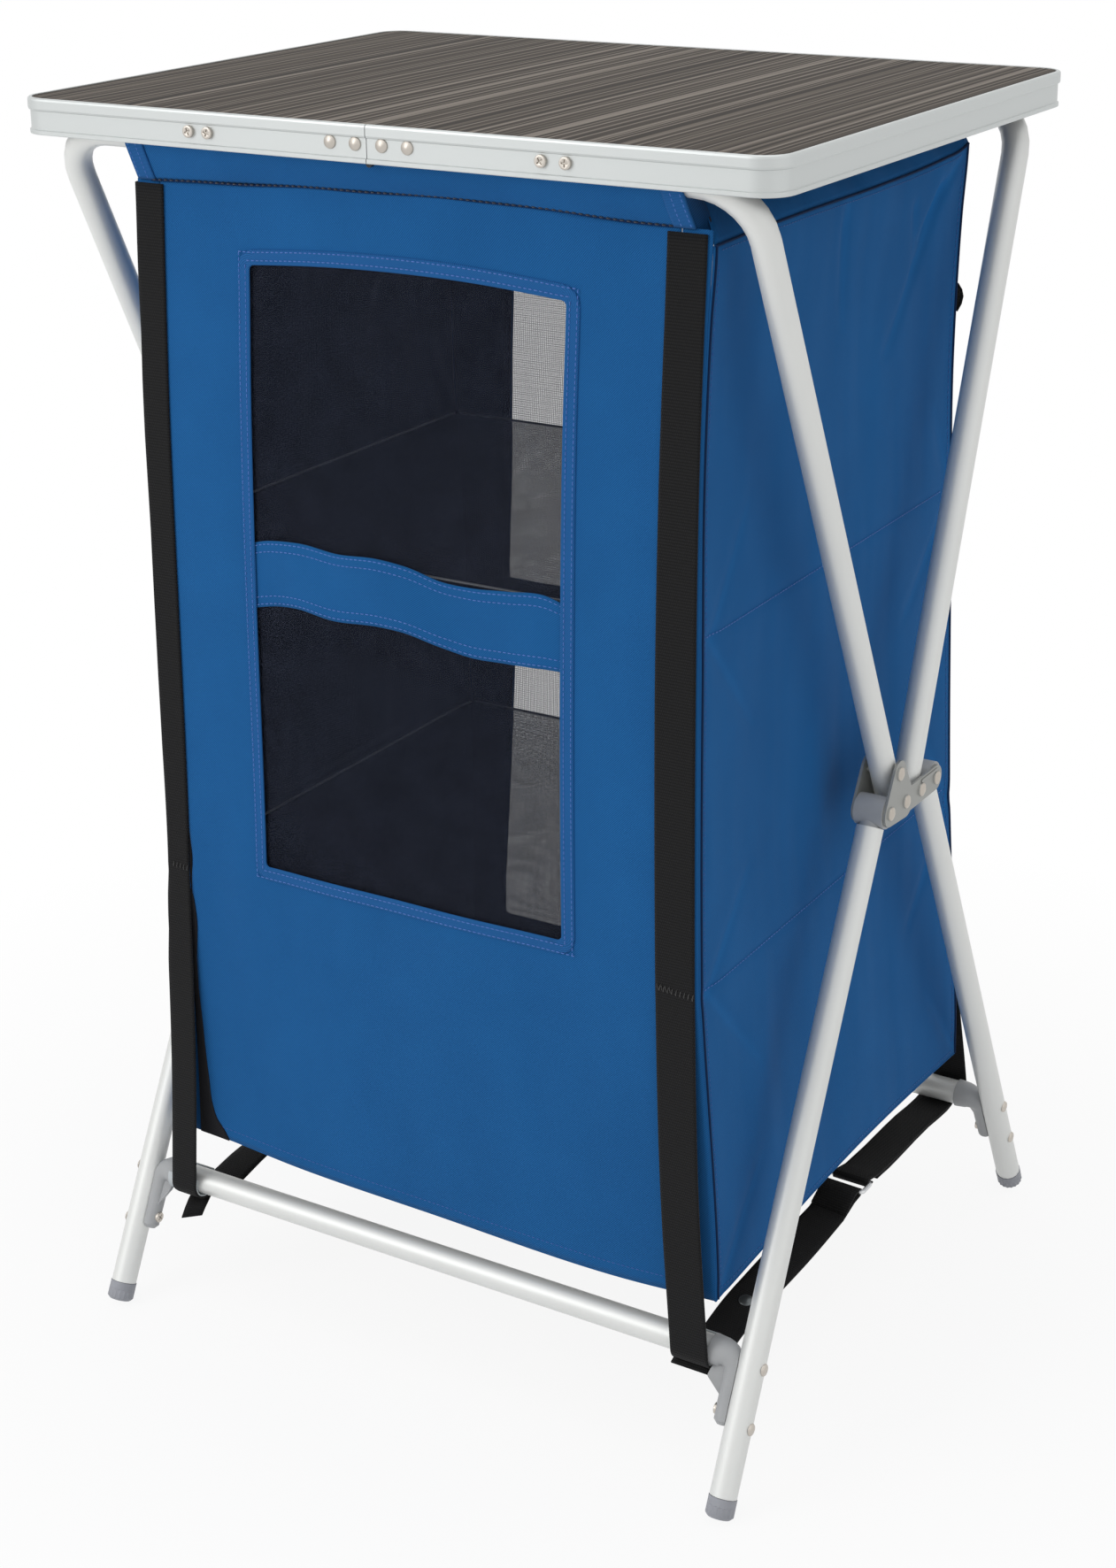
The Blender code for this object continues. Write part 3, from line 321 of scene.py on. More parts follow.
# %% Webbing group
webbing_weave, given, result = start_group(
    "webbing_weave",
    [
        ("Metres", VECTOR, None), ("Row", FLOAT, 0.0021), ("Column", FLOAT, 0.0016), ("Dark", COLOUR, None),
        ("Light", COLOUR, None)
    ],
    [("Colour", COLOUR), ("Height", FLOAT)],
)
tree = webbing_weave
parts = put(tree, "ShaderNodeSeparateXYZ", {"Vector": given["Metres"]}).outputs
row = sums(tree, "DIVIDE", parts["Y"], given["Row"])
row_wave = sums(tree, "ABSOLUTE", sums(tree, "SINE", sums(tree, "MULTIPLY", row, math.pi)))
moved = sums(tree, "MULTIPLY", sums(tree, "FLOOR", row), 0.5)
column = sums(tree, "ADD", sums(tree, "DIVIDE", parts["X"], given["Column"]), moved)
column_wave = sums(tree, "ABSOLUTE", sums(tree, "SINE", sums(tree, "MULTIPLY", column, math.pi)))
knots = sums(
    tree, "MULTIPLY", sums(tree, "POWER", row_wave, 0.6),
    sums(tree, "ADD", 0.45, sums(tree, "MULTIPLY", column_wave, 0.55))
)
fuzz = noise(tree, given["Metres"], 1500.0, 2.0)
share = sums(tree, "MULTIPLY", knots, sums(tree, "ADD", 0.55, sums(tree, "MULTIPLY", fuzz, 0.8)))
tree.links.new(blend_colours(tree, share, given["Dark"], given["Light"]), result["Colour"])
tree.links.new(knots, result["Height"])

webbing, tree, shader = start_material(
    "black_webbing_weave", 0.85, Sheen_Weight=0.05, Specular_IOR_Level=0.15
)
out = use_group(
    tree, webbing_weave,
    {"Metres": cloth_metres(tree), "Dark": (0.003, 0.003, 0.003, 1), "Light": (0.019, 0.019, 0.020, 1)}
)
wire(tree, shader, out, 0.0004, 0.8)
print("webbing ready")

# %% [markdown]
# ## Net
# The windows are fine netting. Real holes by the ten thousand would be slow, so the holes are
# drawn in Alpha: a wave each way leaves a thread where either is near its crest.

# %% Net group
net_holes, given, result = start_group(
    "net_holes",
    [("Metres", VECTOR, None), ("Pitch", FLOAT, 0.0013), ("Thread", FLOAT, 0.30), ("Soft", FLOAT, 0.30)],
    [("Thread mask", FLOAT), ("Height", FLOAT)],
)
tree = net_holes
parts = put(tree, "ShaderNodeSeparateXYZ", {"Vector": given["Metres"]}).outputs
turns = sums(tree, "DIVIDE", math.pi, given["Pitch"])
across = sums(tree, "ABSOLUTE", sums(tree, "COSINE", sums(tree, "MULTIPLY", parts["X"], turns)))
along = sums(tree, "ABSOLUTE", sums(tree, "COSINE", sums(tree, "MULTIPLY", parts["Y"], turns)))
crest = sums(tree, "MAXIMUM", across, along)
edge = sums(tree, "SUBTRACT", 1.0, given["Thread"])
mask = put(
    tree, "ShaderNodeMapRange",
    {
        "Value": crest, "From Min": sums(tree, "SUBTRACT", edge, given["Soft"]),
        "From Max": sums(tree, "ADD", edge, given["Soft"])
    }
)
tree.links.new(mask.outputs["Result"], result["Thread mask"])
tree.links.new(crest, result["Height"])


def make_net(name, colour, thread, pitch):
    material, tree, shader = start_material(name, 0.85, Specular_IOR_Level=0.1)
    out = use_group(tree, net_holes, {"Metres": cloth_metres(tree), "Pitch": pitch, "Thread": thread})
    tint = noise(tree, cloth_metres(tree), 40.0, 3.0)
    paler = tuple(2.2 * c for c in colour)
    tree.links.new(blend_colours(tree, tint, (*colour, 1), (*paler, 1)), shader.inputs["Base Color"])
    tree.links.new(out["Thread mask"], shader.inputs["Alpha"])
    bump(tree, shader, out["Height"], 0.0001, 0.5)
    return material


window_net = make_net("dark_window_net", (0.020, 0.024, 0.038), 0.0, 0.0012)
rear_net = make_net("dark_rear_net", (0.006, 0.007, 0.011), 0.0, 0.0009)
shelf_net = make_net("dark_shelf_net", (0.008, 0.009, 0.012), 0.16, 0.0014)
print("nets ready")

# %% [markdown]
# ## Metals and plastics
# Anodised aluminium isn't a mirror: fine scratches along the tube blur what it reflects. Noise
# that is stretched along the piece changes the roughness and the bump a little. The same group
# serves the steel parts with other numbers. Moulded plastic gets small even pits instead.

# %% Metal and plastic groups
satin, given, result = start_group(
    "satin_metal",
    [
        ("Place", VECTOR, None), ("Colour", COLOUR, None), ("Roughness", FLOAT, 0.3),
        ("Spread", FLOAT, 0.08), ("Grain", FLOAT, 900.0)
    ],
    [("Colour", COLOUR), ("Roughness", FLOAT), ("Height", FLOAT)],
)
grain = noise(satin, given["Place"], given["Grain"], 3.0)
cloud = noise(satin, given["Place"], 9.0, 4.0)
centred = sums(
    satin, "SUBTRACT",
    sums(satin, "ADD", sums(satin, "MULTIPLY", grain, 0.6), sums(satin, "MULTIPLY", cloud, 0.4)), 0.5
)
rough = sums(satin, "ADD", given["Roughness"], sums(satin, "MULTIPLY", centred, given["Spread"]))
satin.links.new(rough, result["Roughness"])
dulled = put(
    satin, "ShaderNodeHueSaturation",
    {"Color": given["Colour"], "Value": sums(satin, "ADD", 0.96, sums(satin, "MULTIPLY", cloud, 0.08))}
)
satin.links.new(dulled.outputs["Color"], result["Colour"])
satin.links.new(grain, result["Height"])

pitted, given, result = start_group(
    "moulded_plastic",
    [("Place", VECTOR, None), ("Dark", COLOUR, None), ("Light", COLOUR, None), ("Roughness", FLOAT, 0.5)],
    [("Colour", COLOUR), ("Roughness", FLOAT), ("Height", FLOAT)],
)
pits = put(pitted, "ShaderNodeTexVoronoi", {"Vector": given["Place"], "Scale": 2600.0}).outputs["Distance"]
cloud = noise(pitted, given["Place"], 60.0, 5.0)
pitted.links.new(blend_colours(pitted, cloud, given["Dark"], given["Light"]), result["Colour"])
pitted.links.new(
    sums(
        pitted, "ADD", given["Roughness"],
        sums(pitted, "MULTIPLY", sums(pitted, "SUBTRACT", cloud, 0.5), 0.2)
    ),
    result["Roughness"]
)
pitted.links.new(pits, result["Height"])


def stretched_place(tree, scale):
    place = object_place(tree)
    return put(tree, "ShaderNodeMapping", {"Vector": place, "Scale": scale}).outputs["Vector"]


def make_metal(name, colour, roughness, scale=(1, 1, 1), spread=0.1, metallic=1.0):
    material, tree, shader = start_material(name, roughness, metallic)
    place = stretched_place(tree, scale)
    inputs = {"Place": place, "Colour": (*colour, 1), "Roughness": roughness, "Spread": spread}
    wire(tree, shader, use_group(tree, satin, inputs), 0.00001, 0.5)
    return material


def make_plastic(name, dark, light, roughness=0.5):
    material, tree, shader = start_material(name, roughness)
    place = object_place(tree)
    out = use_group(
        tree, pitted, {"Place": place, "Dark": (*dark, 1), "Light": (*light, 1), "Roughness": roughness}
    )
    wire(tree, shader, out, 0.00003, 0.4)
    return material


tube_metal = make_metal("satin_tube", (0.835, 0.845, 0.825), 0.46, metallic=0.30)
edge_metal = make_metal(
    "satin_edge_profile", (0.60, 0.625, 0.62), 0.45, scale=(0.15, 0.15, 1), spread=0.12, metallic=0.55
)
rivet_metal = make_metal("warm_rivet_steel", (0.55, 0.51, 0.46), 0.42, spread=0.15, metallic=0.85)
wire_metal = make_metal("bright_wire", (0.60, 0.61, 0.62), 0.3, metallic=0.9)
grey_plastic = make_plastic("grey_fitting_plastic", (0.40, 0.41, 0.42), (0.50, 0.51, 0.52))
foot_plastic = make_plastic("grey_foot_plastic", (0.33, 0.34, 0.375), (0.43, 0.44, 0.48), 0.55)
# A near-black fold leaf: painted shade, so that its eye below the profile shows no bright bead.
leaf_shade_metal = make_metal("painted_shade_leaf_metal", (0.035, 0.037, 0.042), 0.25, metallic=0.6)
clear_plastic = make_plastic("pale_clip_plastic", (0.52, 0.56, 0.58), (0.66, 0.70, 0.72), 0.3)
print("metals and plastics ready")

# %% [markdown]
# ## Bracket plates with their rivets
# In the CAD model a plate and its rivets are one node, but the rivet heads are warmer and
# brighter than the zinc-grey plate. A mask by distance from the middle plane separates them:
# what stands further out than the plate's face is rivet.

# %% Bracket material
plate_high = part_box("bracket_outer_R")[1].x
bracket_metal, tree, shader = start_material("grey_zinc_plate", 0.45, 0.55)
place = object_place(tree)
out = use_group(
    tree, satin,
    {"Place": place, "Colour": (0.33, 0.335, 0.32, 1), "Roughness": 0.45, "Spread": 0.2, "Grain": 1400.0}
)
out_by = sums(tree, "ABSOLUTE", put(tree, "ShaderNodeSeparateXYZ", {"Vector": place}).outputs["X"])
head = sums(tree, "GREATER_THAN", out_by, plate_high - 0.0016)
tree.links.new(blend_colours(tree, head, out["Colour"], (0.56, 0.51, 0.45, 1)), shader.inputs["Base Color"])
tree.links.new(out["Roughness"], shader.inputs["Roughness"])
bump(tree, shader, out["Height"], 0.00002, 0.6)
print("rivet heads start at", round(plate_high - 0.0016, 4))

# %% [markdown]
# ## The laminate
# The boards are covered with a dark laminate whose lines run from front to back. Two waves across
# the board, whose places wander with a slow noise, give lines at nearly even distances. Narrow
# noise breaks them up, and a colour ramp sorts the sum into dark grounds and pale lines.

# %% Laminate material
laminate, tree, shader = start_material("striped_laminate", 0.55, Specular_IOR_Level=0.15, IOR=1.3)
x = put(tree, "ShaderNodeSeparateXYZ", {"Vector": object_place(tree)}).outputs["X"]
wander = noise(tree, stretched_place(tree, (1, 0.002, 1)), 75.0, 1.0)
narrow = noise(tree, stretched_place(tree, (1, 0.0015, 1)), 480.0, 1.0)


def line_waves(pitch, shift):
    """Waves across the board's width, whose places wander."""
    turns = sums(tree, "MULTIPLY", x, 2 * math.pi / pitch)
    return sums(tree, "SINE", sums(tree, "ADD", turns, sums(tree, "MULTIPLY", wander, shift)))


coarse_lines = sums(tree, "MULTIPLY", line_waves(0.0086, 17.0), 0.30)
fine_lines = sums(tree, "MULTIPLY", line_waves(0.0055, 31.0), 0.22)
tone = sums(tree, "ADD", sums(tree, "ADD", coarse_lines, fine_lines), sums(tree, "MULTIPLY", narrow, 0.9))
ramp = put(tree, "ShaderNodeValToRGB", {"Fac": tone})
stops = ramp.color_ramp.elements
stops[0].position, stops[0].color = 0.05, (0.018, 0.013, 0.009, 1)
stops[1].position, stops[1].color = 0.92, (0.232, 0.202, 0.173, 1)
for position, colour in (
    (0.30, (0.036, 0.027, 0.020, 1)), (0.50, (0.065, 0.052, 0.040, 1)), (0.70, (0.128, 0.108, 0.088, 1))
):
    stops.new(position).color = colour
tree.links.new(ramp.outputs["Color"], shader.inputs["Base Color"])
print("laminate ready")

# %% [markdown]
# ## Dress the rigid CAD pieces
# The tubes, fittings, boards and brackets keep their CAD shape. Each one only swaps its plain
# material for the one made above.

# %% Materials on CAD nodes
dressing = (
    (("upper_tube", "_leg_", "cross_tube"), tube_metal),
    (("edge_profile",), edge_metal),
    (("top_board",), laminate),
    (("bracket_",), bracket_metal),
    (("barrel", "elbow", "bar_clip"), grey_plastic),
    (("_foot_",), foot_plastic),
    (("spreader_ring",), wire_metal),
    (("fold_leaf",), leaf_shade_metal),
)
dressed = 0
for name, node in nodes.items():
    for words, material in dressing:
        if any(word in name for word in words):
            node.data.materials.clear()
            node.data.materials.append(material)
            dressed += 1
            break
print("dressed", dressed, "of", len(nodes), "nodes; the rest are cloth")

# %% [markdown]
# ## Making a sheet of cloth
# A sheet starts flat, as it was cut: a net of points at real distances, whose flat places go
# into the UV map. A function then says where each point ends up. Solidify gives the sheet its
# thickness last. Cells that lie inside a cut-out, such as the window, are left out.

# %% Sheet helpers
CLOTH, WEBBING, NET, TAPE = 0.0007, 0.0013, 0.0004, 0.0006
STIFF_BAND, BASE_CLOTH = 0.0009, 0.0012


def steps(*stops_and_counts):
    """A row of values: steps(0, 4, 1, 2, 3) goes from 0 to 1 in 4 steps, then to 3 in 2."""
    values = [stops_and_counts[0]]
    for count, stop in zip(stops_and_counts[1::2], stops_and_counts[2::2]):
        values += list(np.linspace(values[-1], stop, count + 1)[1:])
    return np.array(values)


def mesh_with_metres(name, points, faces, metres):
    """A mesh whose UV map holds the place of each point in the cut cloth, in metres."""
    mesh = bpy.data.meshes.new(name)
    mesh.from_pydata(points, [], faces)
    layer = mesh.uv_layers.new(name="metres")
    index = np.zeros(len(mesh.loops), np.int32)
    mesh.loops.foreach_get("vertex_index", index)
    layer.data.foreach_set("uv", np.array(metres, np.float32)[index].ravel())
    return mesh


def lay_sheet(
    name, us, vs, place, material, thickness=CLOTH, flat=None, hole=None, lining=None, flip=False
):
    """A sheet over the values us and vs. place gives a point for each, and flat its place in the cut
    cloth. A lining is the material of the cloth's back, and flip turns its face to the other side."""
    u, v = np.meshgrid(us, vs)
    x, y, z = (np.broadcast_to(part, u.shape) for part in place(u, v))
    points = np.stack([x, y, z], -1).reshape(-1, 3)
    fu, fv = (u, v) if flat is None else flat(u, v)
    metres = np.stack([np.broadcast_to(fu, u.shape), np.broadcast_to(fv, u.shape)], -1).reshape(-1, 2)
    columns = len(us)
    faces, area = [], 0.0
    for j in range(len(vs) - 1):
        for i in range(columns - 1):
            middle_u, middle_v = (us[i] + us[i + 1]) / 2, (vs[j] + vs[j + 1]) / 2
            if hole and hole[0] < middle_u < hole[1] and hole[2] < middle_v < hole[3]:
                continue
            a = j * columns + i
            ring = (a, a + 1, a + 1 + columns, a + columns)
            faces.append(ring[::-1] if flip else ring)
            p, q = metres[ring[2]] - metres[ring[0]], metres[ring[3]] - metres[ring[1]]
            area += abs(p[0] * q[1] - p[1] * q[0]) / 2
    piece = finish_mesh(name, mesh_with_metres(name, points.tolist(), faces, metres), material)
    if thickness:
        thicken(piece, thickness, lining)
    piece["flat_width"], piece["flat_length"] = float(np.ptp(metres[:, 0])), float(np.ptp(metres[:, 1]))
    piece["flat_area"] = area
    return piece


def row_of(v):
    """The row numbers of a sheet that is laid along a list of points."""
    return np.rint(v).astype(int)


def finish_mesh(name, mesh, material, crease=50):
    piece = bpy.data.objects.new(name, mesh)
    scene.collection.objects.link(piece)
    mesh.materials.append(material)
    mesh.shade_smooth()
    mesh.set_sharp_from_angle(angle=math.radians(crease))
    return piece


def deselect():
    bpy.ops.object.select_all(action="DESELECT")


def only(piece):
    """Selects this piece alone and makes it the active one."""
    deselect()
    piece.select_set(True)
    bpy.context.view_layer.objects.active = piece


def smooth_below(piece, degrees):
    """Shades a piece smooth where its faces meet at less than this angle."""
    only(piece)
    bpy.ops.object.shade_smooth_by_angle(angle=math.radians(degrees))


def apply_modifiers(piece):
    only(piece)
    for modifier in list(piece.modifiers):
        bpy.ops.object.modifier_apply(modifier=modifier.name)


def thicken(piece, thickness, lining=None):
    modifier = piece.modifiers.new("thickness", "SOLIDIFY")
    if lining:
        piece.data.materials.append(lining)
        modifier.material_offset = 1
    modifier.thickness = thickness
    modifier.offset = 0
    apply_modifiers(piece)


print("sheet helpers ready")

# %% [markdown]
# ## Hanging a piece on its body
# Every piece rides a body of the imported frame, and the CAD nodes it stands in for are hidden.
# A sheet also says its flat size, and how it is held; for a held sheet its share of cloth is
# worked out. Unless told not to, a piece gets its own copy of its mesh.

# %% Hanging
LEAST_SHARE = 0.3001


def hang(
    piece, body="frame", replaced=(), held=None, squash=True,
):
    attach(piece, body)
    if replaced:
        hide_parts(*replaced)
    if held:
        flat = (piece["flat_width"], piece["flat_length"])
        whole = flat[0] * flat[1]
        area = min(max(piece["flat_area"], LEAST_SHARE * whole), whole)
    if squash:
        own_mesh(piece)
    print(piece.name, "faces:", len(piece.data.polygons))
    return piece


print("hanging helper ready")

# %% [markdown]
# ## Smooth metal and plastic
# The CAD nodes are loose triangles with flat shading, so a round tube shows its facets. A copy of
# each rigid node has its points merged and its flat faces joined, and is then shaded smooth where
# faces meet at less than 40 degrees (14 on the profile, whose folds are shallow), while sharper
# edges stay sharp. The copy takes its node's place.

# %% Smooth copies
slot_of = {part["node"]: part["material_slot"] for part in frame["record"]["subparts"]}
body_of = {node: body for body, inside in frame["record"]["behaviour"]["bodies"].items() for node in inside}


def smooth_copy(node, body, slot):
    mesh = bpy.data.meshes.new(node.name + "_smooth")
    work = bmesh.new()
    work.from_mesh(node.data)
    bmesh.ops.remove_doubles(work, verts=work.verts, dist=1e-6)
    bmesh.ops.dissolve_limit(work, angle_limit=math.radians(0.3), verts=work.verts, edges=work.edges)
    work.to_mesh(mesh)
    work.free()
    for layer in [layer for layer in mesh.attributes if layer.name == "custom_normal"]:
        mesh.attributes.remove(layer)
    mesh.materials.append(node.data.materials[0])
    piece = bpy.data.objects.new(node.name + "_smooth", mesh)
    scene.collection.objects.link(piece)
    smooth_below(piece, 14 if slot == "edge_profile" else 40)
    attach(piece, body)
    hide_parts(node.name)


rigid_slots = {"tube", "edge_profile", "bracket", "hinge", "ring", "fitting", "foot", "board"}
rigid = [name for name in nodes if slot_of[name] in rigid_slots]
for name in rigid:
    smooth_copy(nodes[name], body_of[name], slot_of[name])
print("smooth copies:", len(rigid))

# %% [markdown]
# ## Stitches
# Thread shows as rows of short raised dashes. Each dash is a tiny four-sided bar with pointed
# ends, 16 triangles, and a whole seam is one mesh. The dashes follow a line of points on the
# cloth, a little above it.


# %% Stitch helper
def sew(name, lines, outward, material, length=0.0030, gap=0.0010, width=0.00075, lift=0.00042):
    """Dashes along each line of points. outward is the direction in which they stand off the cloth."""
    outward = Vector(outward).normalized()
    points, faces = [], []
    for line in lines:
        line = [Vector(p) for p in line]
        run, marks = 0.0, [0.0]
        for first, second in zip(line, line[1:]):
            run += (second - first).length
            marks.append(run)
        start = gap
        while start + length < run:
            ends = []
            for at in (start, start + length):
                k = max(1, int(np.searchsorted(marks, at)))
                share = (at - marks[k - 1]) / max(1e-9, marks[k] - marks[k - 1])
                ends.append(line[k - 1].lerp(line[k], share) + outward * lift)
            along = (ends[1] - ends[0]).normalized()
            side = along.cross(outward).normalized() * (width / 2)
            top = outward * (width / 2)
            base = len(points)
            points += [ends[0] - top, ends[1] - top]
            for share in (0.2, 0.8):
                middle = ends[0].lerp(ends[1], share)
                points += [middle + side, middle + top, middle - side, middle - top]
            a, b = base + 2, base + 6
            for k in range(4):
                n = (k + 1) % 4
                faces += [(base, a + n, a + k), (a + k, a + n, b + n, b + k), (base + 1, b + k, b + n)]
            start += length + gap
    mesh = bpy.data.meshes.new(name)
    mesh.from_pydata([tuple(p) for p in points], [], faces)
    return finish_mesh(name, mesh, material, crease=180)


def make_thread(name, colour):
    material, tree, shader = start_material(name, 0.6, Sheen_Weight=0.3)
    place = object_place(tree)
    twist = noise(tree, place, 2500.0, 2.0)
    darker = tuple(0.6 * c for c in colour)
    tree.links.new(blend_colours(tree, twist, (*darker, 1), (*colour, 1)), shader.inputs["Base Color"])
    return material


blue_thread = make_thread("light_blue_thread", (0.090, 0.250, 0.78))
navy_thread = make_thread("navy_thread", (0.004, 0.008, 0.030))
side_thread = make_thread("side_blue_thread", (0.040, 0.150, 0.56))
black_thread = make_thread("black_thread", (0.012, 0.011, 0.011))
print("threads ready")

# %% [markdown]
# ## The shape of the box
# All pieces of the box share a few functions: where the front hangs, where the rear leans, and
# how far the cloth stands forward of its seams. Hems, nets and stitches that call the same
# function stay on the cloth they belong to.

# %% Box shape
seam_z, floor_z = 0.907, 0.143
box_x = 0.2365
front_face = -0.2375
tuck, tuck_z = 0.018, 0.384
shelf_levels = (0.384, 0.638)
door_x, door_low, door_radius = 0.214, 0.1445, 0.012
hem_reach = 0.12
inner_x = box_x - CLOTH
sides = (("R", 1), ("L", -1))


def smooth_curve(xs, values):
    """A smooth curve through the points: cubic pieces with the slopes between each point's neighbours."""
    xs, values = np.array(xs), np.array(values)
    slopes = np.gradient(values, xs)

    def at(x):
        x = np.clip(x, xs[0], xs[-1])
        k = np.clip(np.searchsorted(xs, x) - 1, 0, len(xs) - 2)
        width = xs[k + 1] - xs[k]
        t = (x - xs[k]) / width
        low, high = values[k], values[k + 1]
        a, b = slopes[k] * width, slopes[k + 1] * width
        return low + t * (a + t * (3 * (high - low) - 2 * a - b + t * (2 * (low - high) + a + b)))

    return at


lean_levels = (0.100, 0.143, 0.400, 0.600, 0.760, 0.857, 0.907, 0.950)
lean_left = smooth_curve(lean_levels, (0.0, 0.002, 0.017, 0.0185, 0.020, 0.0225, 0.024, 0.023))
lean_middle = smooth_curve(lean_levels, (0.0, -0.002, -0.004, -0.0015, 0.004, 0.0085, 0.009, 0.008))
lean_right = smooth_curve(lean_levels, (0.0045, 0.0060, 0.0000, -0.0012, -0.0008, 0.0028, 0.0060, 0.004))


def lean(x, z):
    """How far the worn box hangs to the right: more at its top than at its floor."""
    share = np.clip(np.abs(x) / box_x, 0, 1) ** 1.5
    return lean_middle(z) * (1 - share) + np.where(x < 0, lean_left(z), lean_right(z)) * share


front_hem = smooth_curve(
    (-0.240, -0.206, -0.122, 0.0, 0.170, 0.240), (0.149, 0.148, 0.142, 0.139, 0.137, 0.1425)
)
side_hem = smooth_curve((-0.222, -0.129, 0.044, 0.125, 0.206), (0.1420, 0.1475, 0.153, 0.151, 0.147))
side_head = smooth_curve(
    (-0.240, -0.201, -0.107, 0.003, 0.115, 0.144, 0.165), (0.901, 0.902, 0.903, 0.903, 0.906, 0.908, 0.913)
)
rear_y = smooth_curve(
    (0.140, 0.385, 0.537, 0.739, 0.833, 0.910, 0.950), (0.2065, 0.186, 0.1765, 0.163, 0.160, 0.159, 0.160)
)


def front_y(z):
    return front_face + tuck * np.maximum(0.0, tuck_z - z) / (tuck_z - floor_z)


def hump(value, centre, width):
    return np.exp(-(((value - centre) / width) ** 2))


def front_relief(x, z):
    """How far the front cloth stands forward: slack between its seams, and soft upright waves."""
    across = np.clip(1 - (x / door_x) ** 2, 0, 1) ** 0.8
    down = np.sin(np.pi * np.clip((z - door_low) / (seam_z - door_low), 0, 1)) ** 0.7
    waves = (
        0.0011 * np.sin(21 * x + 3.2 * z + 0.4)
        + 0.0007 * np.sin(47 * x - 6 * z + 1.3)
        + 0.0005 * np.sin(13 * z + 9 * x)
    )
    pulls = (
        0.0016 * hump(x, -0.150, 0.030) * hump(z, 0.34, 0.10)
        - 0.0013 * hump(x, -0.185, 0.020) * hump(z, 0.37, 0.035)
    )
    return across * down * (0.0016 + waves) + pulls


def low_edge(x, z):
    """The cloth's bottom edge isn't level: near it, rows of points move to the hem's own line."""
    return z + (front_hem(x) - floor_z) * np.clip(1 - (z - floor_z) / hem_reach, 0, 1)


top_seam = smooth_curve(
    (-0.24, -0.2, -0.1, 0.0, 0.1, 0.15, 0.212, 0.24),
    (0.002, 0.0025, 0.006, 0.008, 0.008, 0.0057, 0.0044, 0.004)
)


def front_point(x, z, out=0.0):
    """The seam at the top bows upwards, and the rows near it follow."""
    high = low_edge(x, z) + top_seam(x) * np.clip((z - 0.872) / (seam_z - 0.872), 0, 1)
    return x + lean(x, z), front_y(z) - front_relief(x, z) - out, high


def window_top(x):
    """The window's upper edge rises a little towards its middle."""
    return 0.0060 * (1 - (x / 0.1315) ** 2)


print("front relief at the middle:", round(float(front_relief(0.0, 0.5)), 4))

# %% [markdown]
# ## The front panel
# The panel is one sheet with a window. Its net of points has lines exactly at the window's
# edges, so the cut is clean, and the rows above the window bend with its arched top. The hem
# that covers the edge comes next.

# %% Front panel
window_x, window_low, window_high = 0.1315, 0.404, 0.857
edge_hide = 0.0012


def bend_to_window(x, z):
    """Moves the rows near the window's top so that they follow its arch."""
    near = hump(z, window_high + 0.010, 0.055) * np.clip(1 - (np.abs(x) / 0.19) ** 4, 0, 1)
    return z + window_top(np.clip(x, -window_x, window_x)) * near


def round_corner(x, z):
    """Rounds the panel's lower corners: the square of cells at each corner is pressed into a disc."""
    dx, dz = np.abs(x) - (door_x - door_radius), door_low + door_radius - z
    inside = (dx > 0) & (dz > 0)
    scale = np.where(inside, np.maximum(dx, dz) / np.maximum(1e-9, np.hypot(dx, dz)), 1.0)
    return (
        np.where(inside, np.sign(x) * (door_x - door_radius + dx * scale), x),
        np.where(inside, door_low + door_radius - dz * scale, z)
    )


def panel_place(u, v):
    pull = 0.0030 * (hump(v, 0.395, 0.018) + 0.9 * hump(v, 0.338, 0.016)) * hump(u, -door_x, 0.014)
    x, z = round_corner(u, bend_to_window(u, v))
    return front_point(x + pull, z)


inner = window_x + edge_hide
us = steps(-door_x, 26, -inner, 60, inner, 26, door_x)
vs = steps(door_low, 56, window_low - edge_hide, 90, window_high + edge_hide, 14, seam_z)
panel = lay_sheet(
    "front_panel", us, vs, panel_place, blue_cloth, lining=dark_lining,
    hole=(-inner, inner, window_low - edge_hide, window_high + edge_hide)
)
hang(panel, "door", ["door_panel"], "hung")

# %% [markdown]
# ## The window's hem
# Round the window the cloth is turned back on itself and sewn twice, which leaves a strip that
# is thicker and a touch brighter than the panel. The strip is a section carried round the
# window: rounded at the free edge and thin at the outside.


# %% Window hem
def window_outline(half, low, high, arch=True):
    """Points round the window, anticlockwise as seen from the front, with their outward directions."""
    radius, count = 0.004, 40
    corners = [(half, low, -90), (half, high, 0), (-half, high, 90), (-half, low, 180)]
    points = []
    for x, z, start in corners:
        centre = (x - math.copysign(radius, x), z + (radius if z == low else -radius))
        for i in range(7):
            turn = math.radians(start + 15 * i)
            points.append(
                (
                    centre[0] + radius * math.cos(turn), centre[1] + radius * math.sin(turn),
                    math.cos(turn), math.sin(turn)
                )
            )
        nx = {-90: half, 0: -half, 90: -half, 180: half}[start]
        last = points[-1]
        for i in range(1, count):
            share = i / count
            if start in (-90, 90):
                far = high - radius if start == -90 else low + radius
                points.append((last[0], last[1] + (far - last[1]) * share, last[2], last[3]))
            else:
                far = nx + math.copysign(radius, -nx)
                points.append((last[0] + (far - last[0]) * share, last[1], last[2], last[3]))
    if arch:
        points = [(x, bend_to_window(x, z), a, b) for x, z, a, b in points]
    return [(float(x), float(z), a, b) for x, z, a, b in points]


HEM_SECTION = [
    (0.0, -0.0002), (-0.0005, 0.0004), (0.0, 0.0011), (0.0008, 0.0013), (0.0030, 0.00105),
    (0.0082, 0.00115), (0.0100, 0.0011), (0.0104, 0.0004), (0.0104, 0.0), (0.0050, -0.0001)
]


